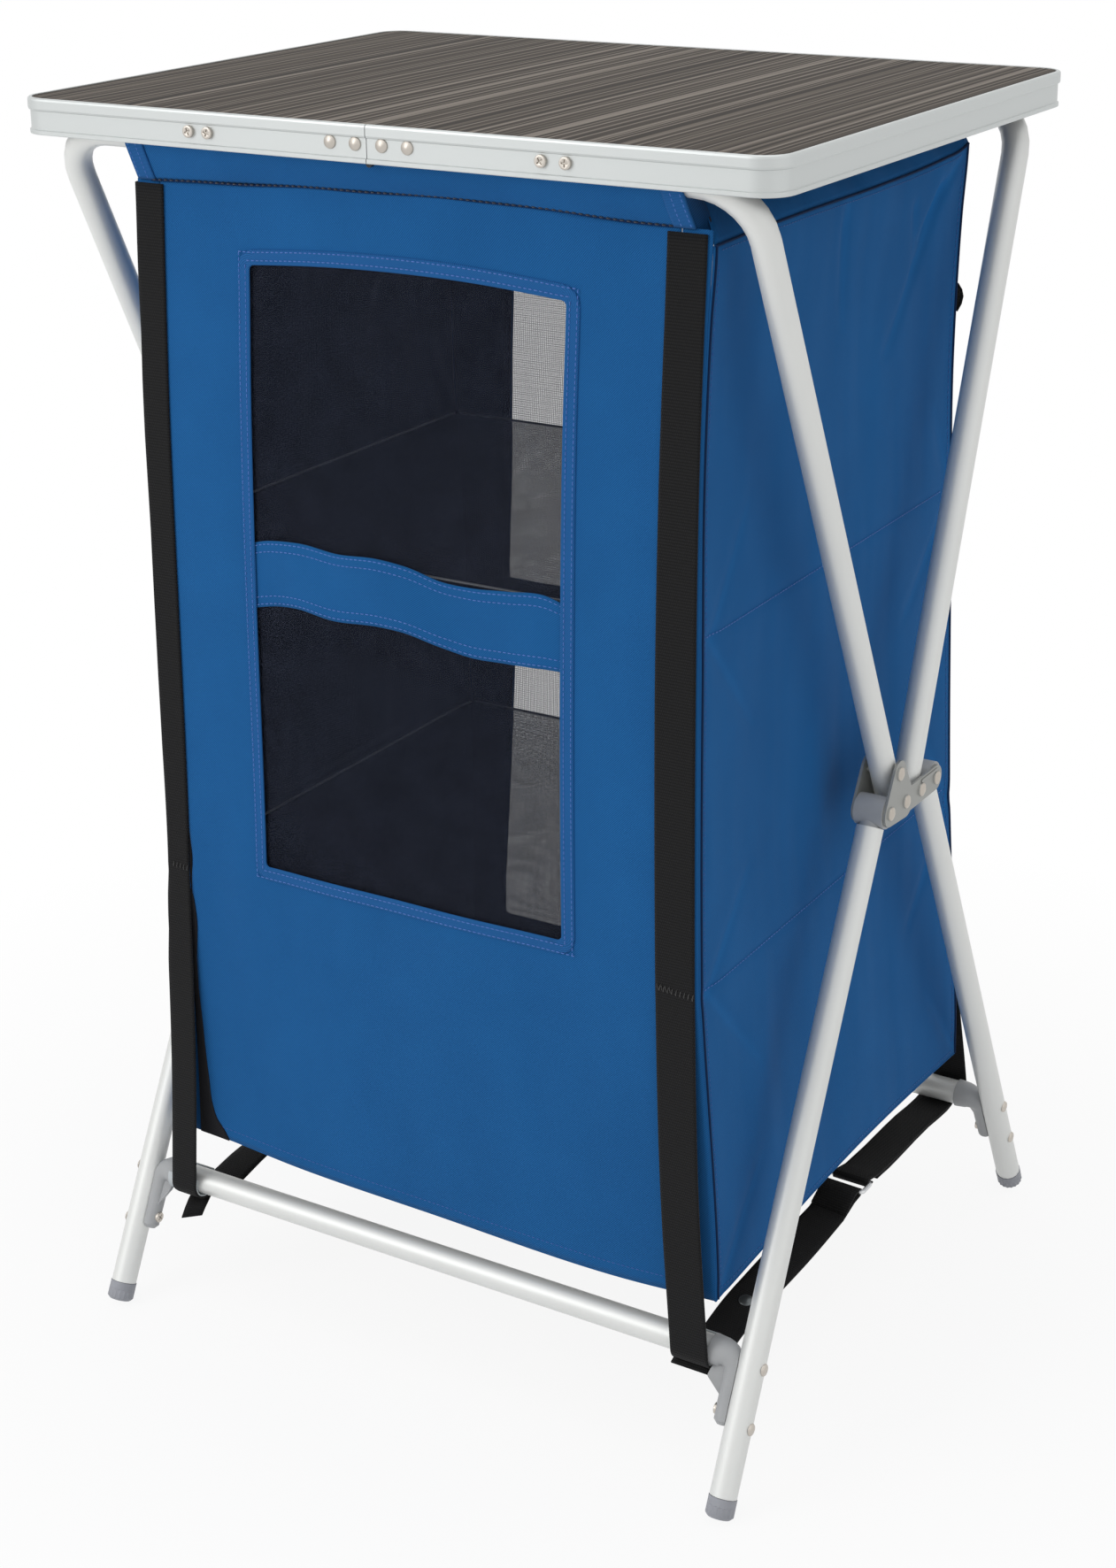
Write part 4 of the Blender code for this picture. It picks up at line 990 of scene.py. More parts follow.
def carry_section(name, outline, section, to_point, material):
    """Carries a section round a closed outline. Its first number is the way out, its second the height."""
    points, faces, metres = [], [], []
    count, size = len(outline), len(section)
    run = 0.0
    for i, (x, z, a, b) in enumerate(outline):
        run += math.hypot(x - outline[i - 1][0], z - outline[i - 1][1]) if i else 0.0
        for out, height in section:
            points.append(tuple(float(c) for c in to_point(x + a * out, z + b * out, height)))
            metres.append((out, run))
        for k in range(size):
            n, j = (k + 1) % size, (i + 1) % count
            faces.append((i * size + k, i * size + n, j * size + n, j * size + k))
    mesh = mesh_with_metres(name, points, faces, metres)
    face_outwards(mesh)
    return finish_mesh(name, mesh, material, crease=70)


def face_outwards(mesh):
    """Turns all faces of a closed mesh outwards."""
    shape = bmesh.new()
    shape.from_mesh(mesh)
    bmesh.ops.recalc_face_normals(shape, faces=shape.faces[:])
    shape.to_mesh(mesh)
    shape.free()


outline = window_outline(window_x, window_low, window_high)
hem = carry_section(
    "window_hem", outline, HEM_SECTION, lambda x, z, h: front_point(x, z, h + CLOTH / 2), hem_cloth
)
hang(hem, "door")

# %% [markdown]
# ## The hem's two seams
# Two rows of lighter thread run round the window. On the real cupboard the rows cross at the
# corners and run on a little, because each side is sewn by itself.


# %% Window stitches
def window_rows(place, half, low, high, out, over=0.0, arch=lambda x, z: z):
    """Four rows of stitches on a window's hem: out beyond the window, and over past the corners."""
    half, low, high = half + out, low - out, high + out
    xs = np.linspace(-half - over, half + over, 60)
    zs = np.linspace(low - over, high + over, 90)
    rows = [[place(x, low, 0.0016) for x in xs], [place(x, float(arch(x, high)), 0.0016) for x in xs]]
    return rows + [[place(x, z, 0.0016) for z in zs] for x in (-half, half)]


lines = []
for out, over in ((0.0028, 0.0), (0.0086, 0.0018)):
    lines += window_rows(front_point, window_x, window_low, window_high, out, over, bend_to_window)
seams = sew("window_stitches", lines, (0, -1, 0), blue_thread, lift=0.0001)
hang(seams, "door")

# %% [markdown]
# ## Net and band
# The net lies behind the hem. Across the window runs a band of blue cloth that stiffens the net.
# It is longer than the gap it spans, so it waves up and down. Its edges follow points that were
# read off the photograph and joined by smooth curves.

# %% Net and band
net_half, net_low, net_high = window_x + 0.008, window_low - 0.008, window_high + 0.012


def net_place(x, z):
    slack = 0.0010 * np.sin(9 * x + 5 * z) * np.sin(np.pi * (x + net_half) / (2 * net_half))
    return front_point(x, z, -0.0018 - slack)


net = lay_sheet(
    "door_window_net", np.linspace(-net_half, net_half, 60), np.linspace(net_low, net_high, 90), net_place,
    window_net, NET
)
hang(net, "door", ["door_net"], "stretched")

band_x = (-0.139, -0.1315, -0.0903, -0.0528, -0.0137, 0.0077, 0.0359, 0.0600, 0.0895, 0.1216, 0.1326, 0.139)
band_high = (0.6535, 0.6560, 0.6615, 0.6597, 0.6618, 0.6590, 0.6518, 0.6512, 0.6532, 0.6542, 0.6506, 0.649)
band_low = (0.6050, 0.6070, 0.6125, 0.6103, 0.6120, 0.6110, 0.6050, 0.6008, 0.6015, 0.6028, 0.6022, 0.601)
upper_edge, lower_edge = smooth_curve(band_x, band_high), smooth_curve(band_x, band_low)


def band_out(x, share):
    """How far the band stands forward of the net: the humps in its edges are where it bulges."""
    free = np.clip((window_x - np.abs(x)) / 0.02, 0, 1)
    return free * (0.0022 + 0.0016 * np.sin(33 * x + 2.2) + 0.0008 * np.sin(70 * x + 3 * share))


def band_point(x, share, out=0.0):
    z = lower_edge(x) + (upper_edge(x) - lower_edge(x)) * share
    return front_point(x, z, band_out(x, share) - 0.0009 + out)


band = lay_sheet(
    "door_band_cloth", np.linspace(-0.1385, 0.1385, 110), np.linspace(0, 1, 14), band_point, blue_cloth,
    STIFF_BAND, flat=lambda u, v: (u, 0.049 * v)
)
hang(band, "door", ["door_band"], "stretched")
xs = np.linspace(-0.133, 0.133, 120)
lines = [[band_point(x, share, 0.0005) for x in xs] for share in (0.045, 0.16, 0.84, 0.955)]
hang(sew("door_band_stitches", lines, (0, -1, 0), blue_thread, lift=0.0002), "door")

# %% [markdown]
# ## The border
# The door is zipped to a narrow border that stays on the frame. It is three strips of the same
# cloth: one at each side, out to the box's corner, and a low one under the door.

# %% Border
gap = 0.0006
reach = door_x + gap
strips = (
    ("front_border_left", steps(-box_x, 6, -reach), steps(floor_z, 90, seam_z)),
    ("front_border_right", steps(reach, 6, box_x), steps(floor_z, 90, seam_z)),
    ("front_border_low", steps(-reach, 60, reach), steps(floor_z, 6, door_low + 0.010)),
)
for name, us, vs in strips:
    border = lay_sheet(
        name, us, vs,
        lambda u, v: front_point(
            u, v, -0.0003 - 0.0010 * np.clip((v - floor_z) / 0.004, 0, 1) * (np.abs(u) < door_x)
        ),
        blue_cloth, lining=dark_lining
    )
    hang(border, "frame", ["front_border"], "stretched")


# %% [markdown]
# ## Tapes and cords
# A tape is a sheet that is laid along a path of points, and a cord is a thin tube along one.
# Both carry their real length in the UV map, so webbing keeps its row height in each of them.


# %% Tape and cord helpers
def ribbon(name, path, across, width, material, thickness, columns=4):
    """A tape along a path of points. across is its width's direction, for all or for each point."""
    path = [Vector(p) for p in path]
    ways = across if hasattr(across[0], "__len__") else [across] * len(path)
    run = np.concatenate([[0.0], np.cumsum([(b - a).length for a, b in zip(path, path[1:])])])
    centre, side = (
        np.array([tuple(p) for p in path]), np.array([tuple(Vector(a).normalized()) for a in ways])
    )

    def place(u, v):
        index = row_of(v)
        points = centre[index] + side[index] * u[..., None]
        return points[..., 0], points[..., 1], points[..., 2]

    return lay_sheet(
        name, np.linspace(-width / 2, width / 2, columns + 1), np.arange(len(path)), place, material,
        thickness, flat=lambda u, v: (u, run[row_of(v)])
    )


def tube_line(name, path, radius, material, corners=6):
    """A thin round cord along a path, with closed ends. Its section has this many corners."""
    path = [Vector(p) for p in path]
    points, faces, metres, run = [], [], [], 0.0
    for i, point in enumerate(path):
        ahead, back = path[min(i + 1, len(path) - 1)], path[max(i - 1, 0)]
        along = (ahead - back).normalized()
        side = along.cross(Vector((0.31, 0.87, 0.38))).normalized()
        other = along.cross(side)
        run += (point - path[i - 1]).length if i else 0.0
        for k in range(corners):
            turn = 2 * math.pi * k / corners
            points.append(tuple(point + (side * math.cos(turn) + other * math.sin(turn)) * radius))
            metres.append((radius * turn, run))
    for i in range(len(path) - 1):
        for k in range(corners):
            n = (k + 1) % corners
            faces.append((i * corners + k, i * corners + n, (i + 1) * corners + n, (i + 1) * corners + k))
    faces.append(tuple(range(corners))[::-1])
    faces.append(tuple((len(path) - 1) * corners + k for k in range(corners)))
    mesh = mesh_with_metres(name, points, faces, metres)
    face_outwards(mesh)
    return finish_mesh(name, mesh, material)


print("tape and cord helpers ready")

# %% [markdown]
# ## The zip
# Behind the gap at each side of the door lies the zip: black tape with a coil on its middle.
# Both are dark and narrow here, so a fine weave on the tape and a plain cord for the coil are
# enough.

# %% Zip
zip_tape, tree, shader = start_material("black_zip_tape", 0.8, Specular_IOR_Level=0.2)
out = use_group(
    tree, webbing_weave,
    {
        "Metres": cloth_metres(tree), "Row": 0.0009, "Column": 0.0012, "Dark": (0.002, 0.002, 0.003, 1),
        "Light": (0.016, 0.016, 0.020, 1)
    }
)
wire(tree, shader, out, 0.0002, 0.7)

zip_heights = np.linspace(seam_z - 0.006, door_low + 0.004, 80)
for letter, side in sides:
    tape_path = [front_point(side * door_x, z, -0.0021) for z in zip_heights]
    tape = ribbon("zip_tape_" + letter, tape_path, (1, 0, 0), 0.024, zip_tape, TAPE)
    hang(tape, "frame", (), "stretched")
    coil_path = [front_point(side * door_x, z, -0.0008) for z in zip_heights]
    hang(tube_line("zip_coil_" + letter, coil_path, 0.0013, zip_tape))

# %% [markdown]
# ## Side walls
# Each side wall is one sheet, upright to the top seam. It hangs in shallow dips between the
# shelves, whose seams rise a little towards the rear, and pulls start from the ends of its
# seams: a pull is a soft valley along a short line. The walls lean with the worn box.


# %% Side wall shape
def valley(y, z, start, end, width, depth):
    """A soft crease from start to end, deepest at its start."""
    (a, b), (c, d) = start, end
    length = math.hypot(c - a, d - b)
    along = ((y - a) * (c - a) + (z - b) * (d - b)) / length**2
    t = np.clip(along, 0, 1)
    off = np.hypot(y - a - (c - a) * t, z - b - (d - b) * t)
    return depth * np.exp(-((off / width) ** 2)) * (1 - 0.7 * t) * np.clip(1.4 - np.abs(along - 0.5), 0, 1)


CREASES = (
    ((0.148, 0.905), (0.085, 0.852), 0.009, 0.0030),
    ((0.120, 0.885), (0.041, 0.777), 0.011, 0.0026),
    ((-0.046, 0.901), (-0.034, 0.811), 0.010, 0.0017),
    ((0.072, 0.880), (0.080, 0.830), 0.009, 0.0013),
    ((0.165, 0.640), (0.090, 0.565), 0.011, 0.0022),
    ((0.170, 0.637), (0.130, 0.715), 0.012, 0.0018),
    ((-0.224, 0.637), (-0.160, 0.560), 0.012, 0.0020),
    ((-0.222, 0.640), (-0.170, 0.720), 0.010, 0.0014),
    ((0.182, 0.384), (0.110, 0.300), 0.012, 0.0024),
    ((0.180, 0.384), (0.120, 0.470), 0.012, 0.0020),
    ((-0.226, 0.384), (-0.150, 0.300), 0.012, 0.0020),
    ((-0.226, 0.384), (-0.165, 0.455), 0.010, 0.0016),
    ((0.198, 0.155), (0.140, 0.230), 0.012, 0.0018),
    ((-0.210, 0.150), (-0.150, 0.225), 0.012, 0.0018),
)


def shelf_seam(level, y):
    """The line where a shelf is sewn to a side wall: it rises a little towards the rear."""
    return level + 0.0032 + 0.0170 * (y + 0.223)


def side_dip(y, z):
    front, back = front_y(z), rear_y(z)
    share = np.clip((y - front) / (back - front), 0, 1)
    levels = (floor_z, *shelf_levels, seam_z)
    ease = np.zeros_like(z)
    for low, high in zip(levels, levels[1:]):
        inside = (z >= low) & (z <= high)
        ease = np.where(inside, np.sin(np.pi * np.clip((z - low) / (high - low), 0, 1)) ** 1.3, ease)
    ease = ease * np.sin(np.pi * share) ** 0.6
    waves = (
        1
        + 0.5 * np.sin(2 * math.pi * (2.6 * share + 0.9 * z))
        + 0.25 * np.sin(2 * math.pi * (5.3 * share - 1.6 * z) + 1)
    )
    seams = (
        sum(0.0009 * hump(z, shelf_seam(level, y), 0.0035) for level in shelf_levels)
        * np.clip(np.sin(np.pi * share) * 6, 0, 1)
    )
    pulls = sum(valley(y, z, start, end, 0.62 * width, 1.9 * depth) for start, end, width, depth in CREASES)
    return (
        (0.0026 * ease * waves + pulls * np.sin(np.pi * share) ** 0.35 + seams)
        * np.clip((seam_z - z) / 0.02, 0, 1)
    )


def side_point(side, y, z, out=0.0):
    """A point of the side wall. z runs from the floor to the seam and is moved to the hems' own lines."""
    across = side * (box_x - side_dip(y, z) + out)
    low = (side_hem(y) - floor_z) * np.clip(1 - (z - floor_z) / hem_reach, 0, 1)
    high = (side_head(y) - seam_z) * np.clip(1 - (seam_z - z) / hem_reach, 0, 1)
    return across + lean(side * box_x, z), y, z + low + high


print("creases on each side wall:", len(CREASES))

# %% [markdown]
# ## Lay the side walls
# The sheet needs many points, since a crease is only a centimetre wide. How deep each point
# lies in a crease is stored on the points and read by the twill, so the fold's edge is paler:
# partly wear, and partly a painted highlight along the fold.

# %% Side walls
for letter, side in sides:

    def wall_place(u, v):
        return side_point(side, front_y(v) + 0.0006 + (rear_y(v) - front_y(v) - 0.0012) * u, v)

    wall = lay_sheet(
        "side_cloth_" + letter, np.linspace(0, 1, 130), np.linspace(floor_z, seam_z, 240), wall_place,
        side_cloth, flat=lambda u, v: (0.406 * u + 0.02 * (seam_z - v) * (u - 0.5), v), lining=dark_lining,
        flip=side < 0
    )
    ys, zs = (np.array([point.co[k] for point in wall.data.vertices]) for k in (1, 2))
    # Crease paleness: partly wear, partly a painted highlight along each fold.
    wear_and_sheen = sum(
        valley(ys - 0.003, zs, start, end, 0.0026, depth / 0.0024) for start, end, width, depth in CREASES
    )
    wall.data.attributes.new("wear_and_sheen", "FLOAT", "POINT").data.foreach_set("value", wear_and_sheen.astype(np.float32))
    hang(wall, "frame", ["side_wall_" + letter], "stretched")

# %% [markdown]
# ## The roof and its flap
# A sleeve of the same cloth runs over the front and rear bars and carries the whole box. Between
# the bars it sags. What shows of it is the flap in front, from under the tabletop down to the
# seam. Its line, seen from the side, is worked out first: straight up from each seam to where it
# touches the bar, round the bar, and across.

# %% Roof line
bar_front, bar_rear, bar_z = -0.2435, 0.1885, 0.941
bar_reach = 0.010 + 0.0003 + CLOTH / 2 + 0.0002


def bar_turn(seam_y, bar_y, facing):
    """Points from a seam up and round a bar, to its top."""
    along, drop = facing * (seam_y - bar_y), seam_z - bar_z
    touch = (math.atan2(drop, along) - math.acos(bar_reach / math.hypot(along, drop))) % (2 * math.pi)
    start = (seam_y, seam_z)
    turns = np.linspace(touch, math.pi / 2, 14)
    arc = [(bar_y + facing * bar_reach * math.cos(t), bar_z + bar_reach * math.sin(t)) for t in turns]
    straight = [
        (start[0] + (arc[0][0] - start[0]) * t, start[1] + (arc[0][1] - start[1]) * t)
        for t in np.linspace(0, 1, 10)[:-1]
    ]
    return straight + arc


front_part, rear_part = bar_turn(front_face, bar_front, 1), bar_turn(rear_y(seam_z), bar_rear, -1)
middle = []
for share in np.linspace(0, 1, 26)[1:-1]:
    y = front_part[-1][0] + (rear_part[-1][0] - front_part[-1][0]) * share
    middle.append((y, front_part[-1][1] - 0.009 * math.sin(math.pi * share) ** 2))
roof_line = np.array(front_part + middle + rear_part[::-1], float)
roof_run = np.concatenate([[0], np.cumsum(np.hypot(*np.diff(roof_line, axis=0).T))])
print("roof length over both bars:", round(float(roof_run[-1]), 4))

# %% [markdown]
# ## Lay the roof
# The sheet follows that line, and sags more at its sides than in its middle. The flap's ends
# slant outwards and its seam bows upwards with the front panel's.


# %% Roof
def flap_x(u, flap):
    """The flap's ends slant outwards as it comes down from the bar to the seam."""
    left, right = -0.2075 - 0.0030 * flap, 0.2295 + 0.0015 * flap
    return left + (right - left) * (u + 0.2175) / 0.435


def roof_place(u, v):
    index = row_of(v)
    y, z = roof_line[index, 0], roof_line[index, 1]
    sag = np.sin(np.pi * np.clip((y - bar_front) / (bar_rear - bar_front), 0, 1)) ** 2
    flap = np.clip((bar_z - z) / (bar_z - seam_z), 0, 1) * (y < 0)
    wave = flap * np.sin(np.pi * flap) * (0.0009 * np.sin(37 * u + 0.7) + 0.0006 * np.sin(81 * u))
    x = flap_x(u, flap)
    return x, y - wave - 0.0004 * flap, z - 0.004 * sag * (u / 0.2175) ** 4 + top_seam(x) * flap**2


roof = lay_sheet(
    "roof_cloth", np.linspace(-0.2175, 0.2175, 90), np.arange(len(roof_line)), roof_place, blue_cloth,
    lining=dark_lining, flat=lambda u, v: (u, roof_run[row_of(v)])
)
hang(roof, "frame", ["roof_sleeve"], "stretched")

# %% [markdown]
# ## The roof's ends
# Over each side wall a narrow edge slopes in under the tabletop. A small gusset closes the
# corner between it and the flap, and the flap's own end is turned back and sewn as a hem. The
# gusset is a darker blue: painted shade, for the shade under the bar and the tabletop.

# %% Roof ends
for letter, side in sides:

    def gable_place(u, v):
        y = front_face + 0.0012 + (0.158 - front_face) * u + 0.020 * v * (1 - u)
        low = side_head(y)
        crumple = 0.0012 * np.sin(np.pi * v) * np.sin(31 * u + 4 * v)
        return (
            side * (
                box_x + 0.0002 - (0.0180 + 0.0085 * (1 - u) ** 4) * v**1.15 + crumple
            ) + lean(side * box_x, seam_z),
            y, low + (0.934 - low) * v
        )

    gable = lay_sheet(
        "roof_edge_" + letter, np.linspace(0, 1, 60), np.linspace(0, 1, 9), gable_place, side_cloth,
        flat=lambda u, v: (0.39 * u, 0.036 * v), lining=dark_lining, flip=side < 0
    )
    hang(gable, "frame", (), "stretched")

    def gusset_place(u, v):
        """A small sheet from the flap's end to the side, which closes the corner under the bar."""
        flap_end = roof_place(np.full(u.shape, side * 0.2168), 11.0 * v)
        wall_end = gable_place(np.zeros(u.shape), v)
        fold = 0.0110 * np.sin(np.pi * u) * (0.25 + 0.75 * np.sin(np.pi * v))
        x, y, z = (a * (1 - u) + b * u for a, b in zip(flap_end, wall_end))
        return x, y + 0.0006 + fold, z

    # The gusset's darker cloth is painted shade.
    gusset = lay_sheet(
        "roof_gusset_" + letter, np.linspace(0, 1, 12), np.linspace(0, 1, 12), gusset_place, gusset_painted_shade,
        flat=lambda u, v: (0.026 * u, 0.035 * v), lining=dark_lining, flip=side < 0
    )
    hang(gusset, "frame", (), "stretched")

    def flap_hem_place(u, v):
        x, y, z = roof_place(side * (0.2175 - u), v)
        return x, y - 0.0010 - 0.0003 * np.sin(np.pi * u / 0.015), z

    hem = lay_sheet(
        "flap_hem_" + letter, np.linspace(0, 0.015, 10), np.arange(14), flap_hem_place, hem_cloth,
        flat=lambda u, v: ((u - roof_run[row_of(v)]) * 0.7, (u + roof_run[row_of(v)]) * 0.7),
        flip=side > 0
    )
    hang(hem, "frame", (), "stretched")
    rows = [[flap_hem_place(np.array([u]), np.array([k])) for k in np.arange(13)] for u in (0.0022, 0.0090)]
    rows = [[tuple(float(part[0]) for part in point) for point in row] for row in rows]
    hang(sew("flap_hem_stitches_" + letter, rows, (0, -1, 0), blue_thread, width=0.0007, lift=0.0004))

# %% [markdown]
# ## Seams round the box
# Where two sheets meet they are sewn together, turned and sewn again, which leaves a thin
# ridge. Each seam here is a thin cord along the edge; the cords at the corners and the head,
# and the flap's ridge, are dark navy as painted shade in the seam's groove. The front flap ends
# in such a ridge too, with a row of dark thread, and the door's lower edge has a row of blue
# thread.

# %% Seam cords
ys = np.linspace(0, 1, 70)
for letter, side in sides:
    zs = np.linspace(floor_z, seam_z, 120)
    corner = [side_point(side, float(front_y(z)) + 0.0034, z, 0.0008) for z in zs]
    hang(tube_line("corner_seam_front_" + letter, corner, 0.0009, seam_shade_cloth))
    corner = [side_point(side, float(rear_y(z)) - 0.0008, z, 0.0004) for z in zs]
    hang(tube_line("corner_seam_rear_" + letter, corner, 0.0011, seam_shade_cloth))
    head = [side_point(side, front_face + 0.002 + (0.156 - front_face) * t, seam_z, 0.0009) for t in ys]
    hang(tube_line("head_seam_" + letter, head, 0.0010, seam_shade_cloth))
    foot = [side_point(side, -0.2190 + 0.4245 * t, floor_z, -0.0002) for t in ys]
    hang(tube_line("floor_seam_" + letter, foot, 0.0011, side_cloth))

hem_line = [front_point(x, door_low + 0.0095, 0.0004) for x in np.linspace(-0.200, 0.200, 90)]
hang(
    sew("door_foot_stitches", [hem_line], (0, -1, 0), side_thread, width=0.0006, lift=0.0001), "door",
)
ridge = [
    (
        x + float(lean(x, seam_z)), front_face - 0.0010,
        seam_z + float(top_seam(x)) + 0.0004 * math.sin(60 * x)
    )
    for x in np.linspace(-0.222, 0.222, 100)
]
hang(tube_line("flap_ridge", ridge, 0.0008, seam_shade_cloth))
ridge = [(x, y - 0.0006, z + 0.0005) for x, y, z in ridge]
hang(
    sew(
        "flap_stitches", [ridge], (0, -1, 0), navy_thread, length=0.0034, gap=0.0016, width=0.0009,
        lift=0.0004
    )
)

# %% [markdown]
# ## Stitches on the side walls
# The side walls show rows of blue thread where the shelves, the roof and the corners are sewn.
# They follow the same function as the wall, so they dip with it. The shelves' rows are brighter
# and stand on the sloped seam lines.

# %% Side stitches
for letter, side in sides:
    lines, shelf_lines = [], []
    for level, end in ((shelf_levels[1], 0.150), (shelf_levels[0], 0.174)):
        reach = np.linspace(float(front_y(level)) + 0.010, end, 90)
        shelf_lines.append([side_point(side, y, shelf_seam(level, y), 0.0007) for y in reach])
    hang(
        sew(
            "shelf_stitches_" + letter, shelf_lines, (side, 0, 0), blue_thread, length=0.0026, gap=0.0014,
            width=0.0008, lift=0.0005
        )
    )
    lines.append([side_point(side, y, seam_z - 0.0045, 0.0005) for y in np.linspace(-0.228, 0.150, 90)])
    lines.append(
        [side_point(side, float(front_y(z)) + 0.0080, z, 0.0005) for z in np.linspace(0.150, 0.895, 120)]
    )
    lines.append(
        [side_point(side, float(rear_y(z)) - 0.0070, z, 0.0005) for z in np.linspace(0.155, 0.895, 120)]
    )
    lines.append([side_point(side, y, floor_z + 0.0050, 0.0005) for y in np.linspace(-0.212, 0.200, 90)])
    hang(
        sew(
            "side_stitches_" + letter, lines, (side, 0, 0), side_thread, length=0.0026, gap=0.0014,
            width=0.0005, lift=0.0002
        )
    )

# %% [markdown]
# ## The rear panel
# The rear has a window, hem, net and band like the front, but nothing opens, and its window is
# larger. It widens towards the floor, because the cloth beside it is pulled outwards there. The
# rear window is what shows as a second dark frame through the front net.


# %% Rear panel
def rear_point(x, z, out=0.0):
    slack = (
        0.0020
        * np.clip(1 - (x / box_x) ** 2, 0, 1)
        * np.sin(np.pi * np.clip((z - floor_z) / (seam_z - floor_z), 0, 1))
    )
    return (
        x + lean(x, z), rear_y(z) + slack * (1 + 0.5 * np.sin(23 * x - 7 * z)) + out,
        z + (side_hem(0.206) - floor_z) * np.clip(1 - (z - floor_z) / hem_reach, 0, 1)
    )


rear_x, rear_low, rear_high = 0.168, 0.170, 0.857


def rear_flare(x, z):
    """The rear window widens towards the floor."""
    near = np.clip(1 - np.abs(np.abs(x) - rear_x) / 0.06, 0, 1)
    return (
        x
        + np.sign(x) * near * np.interp(
            z, (0.17, 0.21, 0.43, 0.512, 0.612, 0.756, 0.857),
            (0.034, 0.033, 0.016, 0.018, 0.009, 0.0014, 0)
        )
    )


def rear_cut(x, z, out=0.0):
    return rear_point(rear_flare(x, z), z, out)


hide = rear_x + edge_hide
us = steps(-box_x, 14, -hide, 44, hide, 14, box_x)
vs = steps(floor_z, 6, rear_low - edge_hide, 90, rear_high + edge_hide, 8, seam_z)
rear = lay_sheet(
    "rear_cloth", us, vs, rear_cut, blue_cloth, lining=dark_lining, flip=True,
    flat=lambda u, v: (rear_flare(u, v), v), hole=(-hide, hide, rear_low - edge_hide, rear_high + edge_hide)
)
hang(rear, "frame", ["rear_panel"], "stretched")
rear_outline = window_outline(rear_x, rear_low, rear_high, arch=False)
hem = carry_section(
    "rear_window_hem", rear_outline[::-1], HEM_SECTION, lambda x, z, h: rear_cut(x, z, h + CLOTH / 2),
    hem_cloth
)
hang(hem)
lines = []
for out in (0.0028, 0.0086):
    lines += window_rows(rear_cut, rear_x, rear_low, rear_high, out)
for level in shelf_levels:
    lines.append([rear_point(x, level, 0.0006) for x in np.linspace(-0.232, -0.186, 20)])
    lines.append([rear_point(x, level, 0.0006) for x in np.linspace(0.186, 0.232, 20)])
hang(sew("rear_stitches", lines, (0, 1, 0), blue_thread, lift=0.0001))


# %% [markdown]
# ## Rear net and band
# The net lies on the inner side of the rear cloth and hangs in two soft folds. The band waves
# like the door's, only less.


# %% Rear net and band
def rear_net_place(x, z):
    folds = (
        0.0025 * valley(x, z, (-0.150, 0.345), (-0.118, 0.215), 0.004, 1.0)
        + 0.002 * valley(x, z, (-0.150, 0.600), (-0.128, 0.520), 0.005, 1.0)
    )
    return rear_cut(x, z, -0.0020 - folds)


net = lay_sheet(
    "rear_window_net", np.linspace(-rear_x - 0.008, rear_x + 0.008, 90),
    np.linspace(rear_low - 0.008, rear_high + 0.008, 150), rear_net_place, rear_net, NET
)
hang(net, "frame", ["rear_net"], "stretched")


def rear_band_point(x, share, out=0.0):
    z = 0.461 + 0.049 * share + 0.0035 * np.sin(17 * x + 0.8)
    return rear_cut(x, z, -0.0009 + 0.5 * band_out(-0.7 * x, share) + out)


band = lay_sheet(
    "rear_band_cloth", np.linspace(-0.175, 0.175, 110), np.linspace(0, 1, 10), rear_band_point, blue_cloth,
    STIFF_BAND, lining=dark_lining, flip=True, flat=lambda u, v: (u, 0.049 * v)
)
hang(band, "frame", ["rear_band"], "stretched")
lines = [
    [rear_band_point(x, share, 0.0005) for x in np.linspace(-0.168, 0.168, 120)]
    for share in (0.045, 0.16, 0.84, 0.955)
]
hang(sew("rear_band_stitches", lines, (0, 1, 0), blue_thread, lift=0.0002))

# %% [markdown]
# ## Shelves and floor
# The shelves are nets with a pale bound edge, sewn to the side walls. They sag a little by their
# own weight. The floor is cloth. The pale edges are what shows through the windows as thin
# light lines.


# %% Shelves
def shelf_place(level):
    front, back = float(front_y(level)) + 0.0040, float(rear_y(level)) - 0.0040

    def place(u, v):
        y = front + (back - front) * v
        x = (2 * u - 1) * (inner_x - 0.0006 - side_dip(y, np.full_like(y, level)))
        edge = np.clip(1 - np.abs(2 * u - 1) ** 6, 0, 1)
        drop = 0.005 * np.sin(np.pi * u) ** 2 * np.sin(np.pi * v) ** 1.5
        wave = 0.0010 * np.sin(26 * u) * np.sin(17 * v) * edge * np.sin(np.pi * v)
        return x + lean(x, level), y, level - drop + wave

    return place


for name, node, level in (("lower_shelf", "shelf_lower", 0.384), ("upper_shelf", "shelf_upper", 0.651)):
    place = shelf_place(level)
    piece = lay_sheet(
        name, np.linspace(0, 1, 60), np.linspace(0, 1, 50), place, shelf_net, TAPE,
        flat=lambda u, v: (0.471 * u, 0.40 * v)
    )
    ways = {
        "front": ((0, 0.002), (1, 0.002)), "rear": ((0, 0.998), (1, 0.998)),
        "left": ((0.002, 0), (0.002, 1)), "right": ((0.998, 0), (0.998, 1))
    }
    for end, ((u0, v0), (u1, v1)) in ways.items():
        path = []
        for t in np.linspace(0.01, 0.99, 60):
            x, y, z = place(np.array([u0 + (u1 - u0) * t]), np.array([v0 + (v1 - v0) * t]))
            path.append((float(x[0]), float(y[0]), float(z[0]) + 0.0006))
        hang(tube_line(name + "_binding_" + end, path, 0.0011, pale_cloth), "frame")
    hang(
        piece, "frame", [node], "stretched"
    )


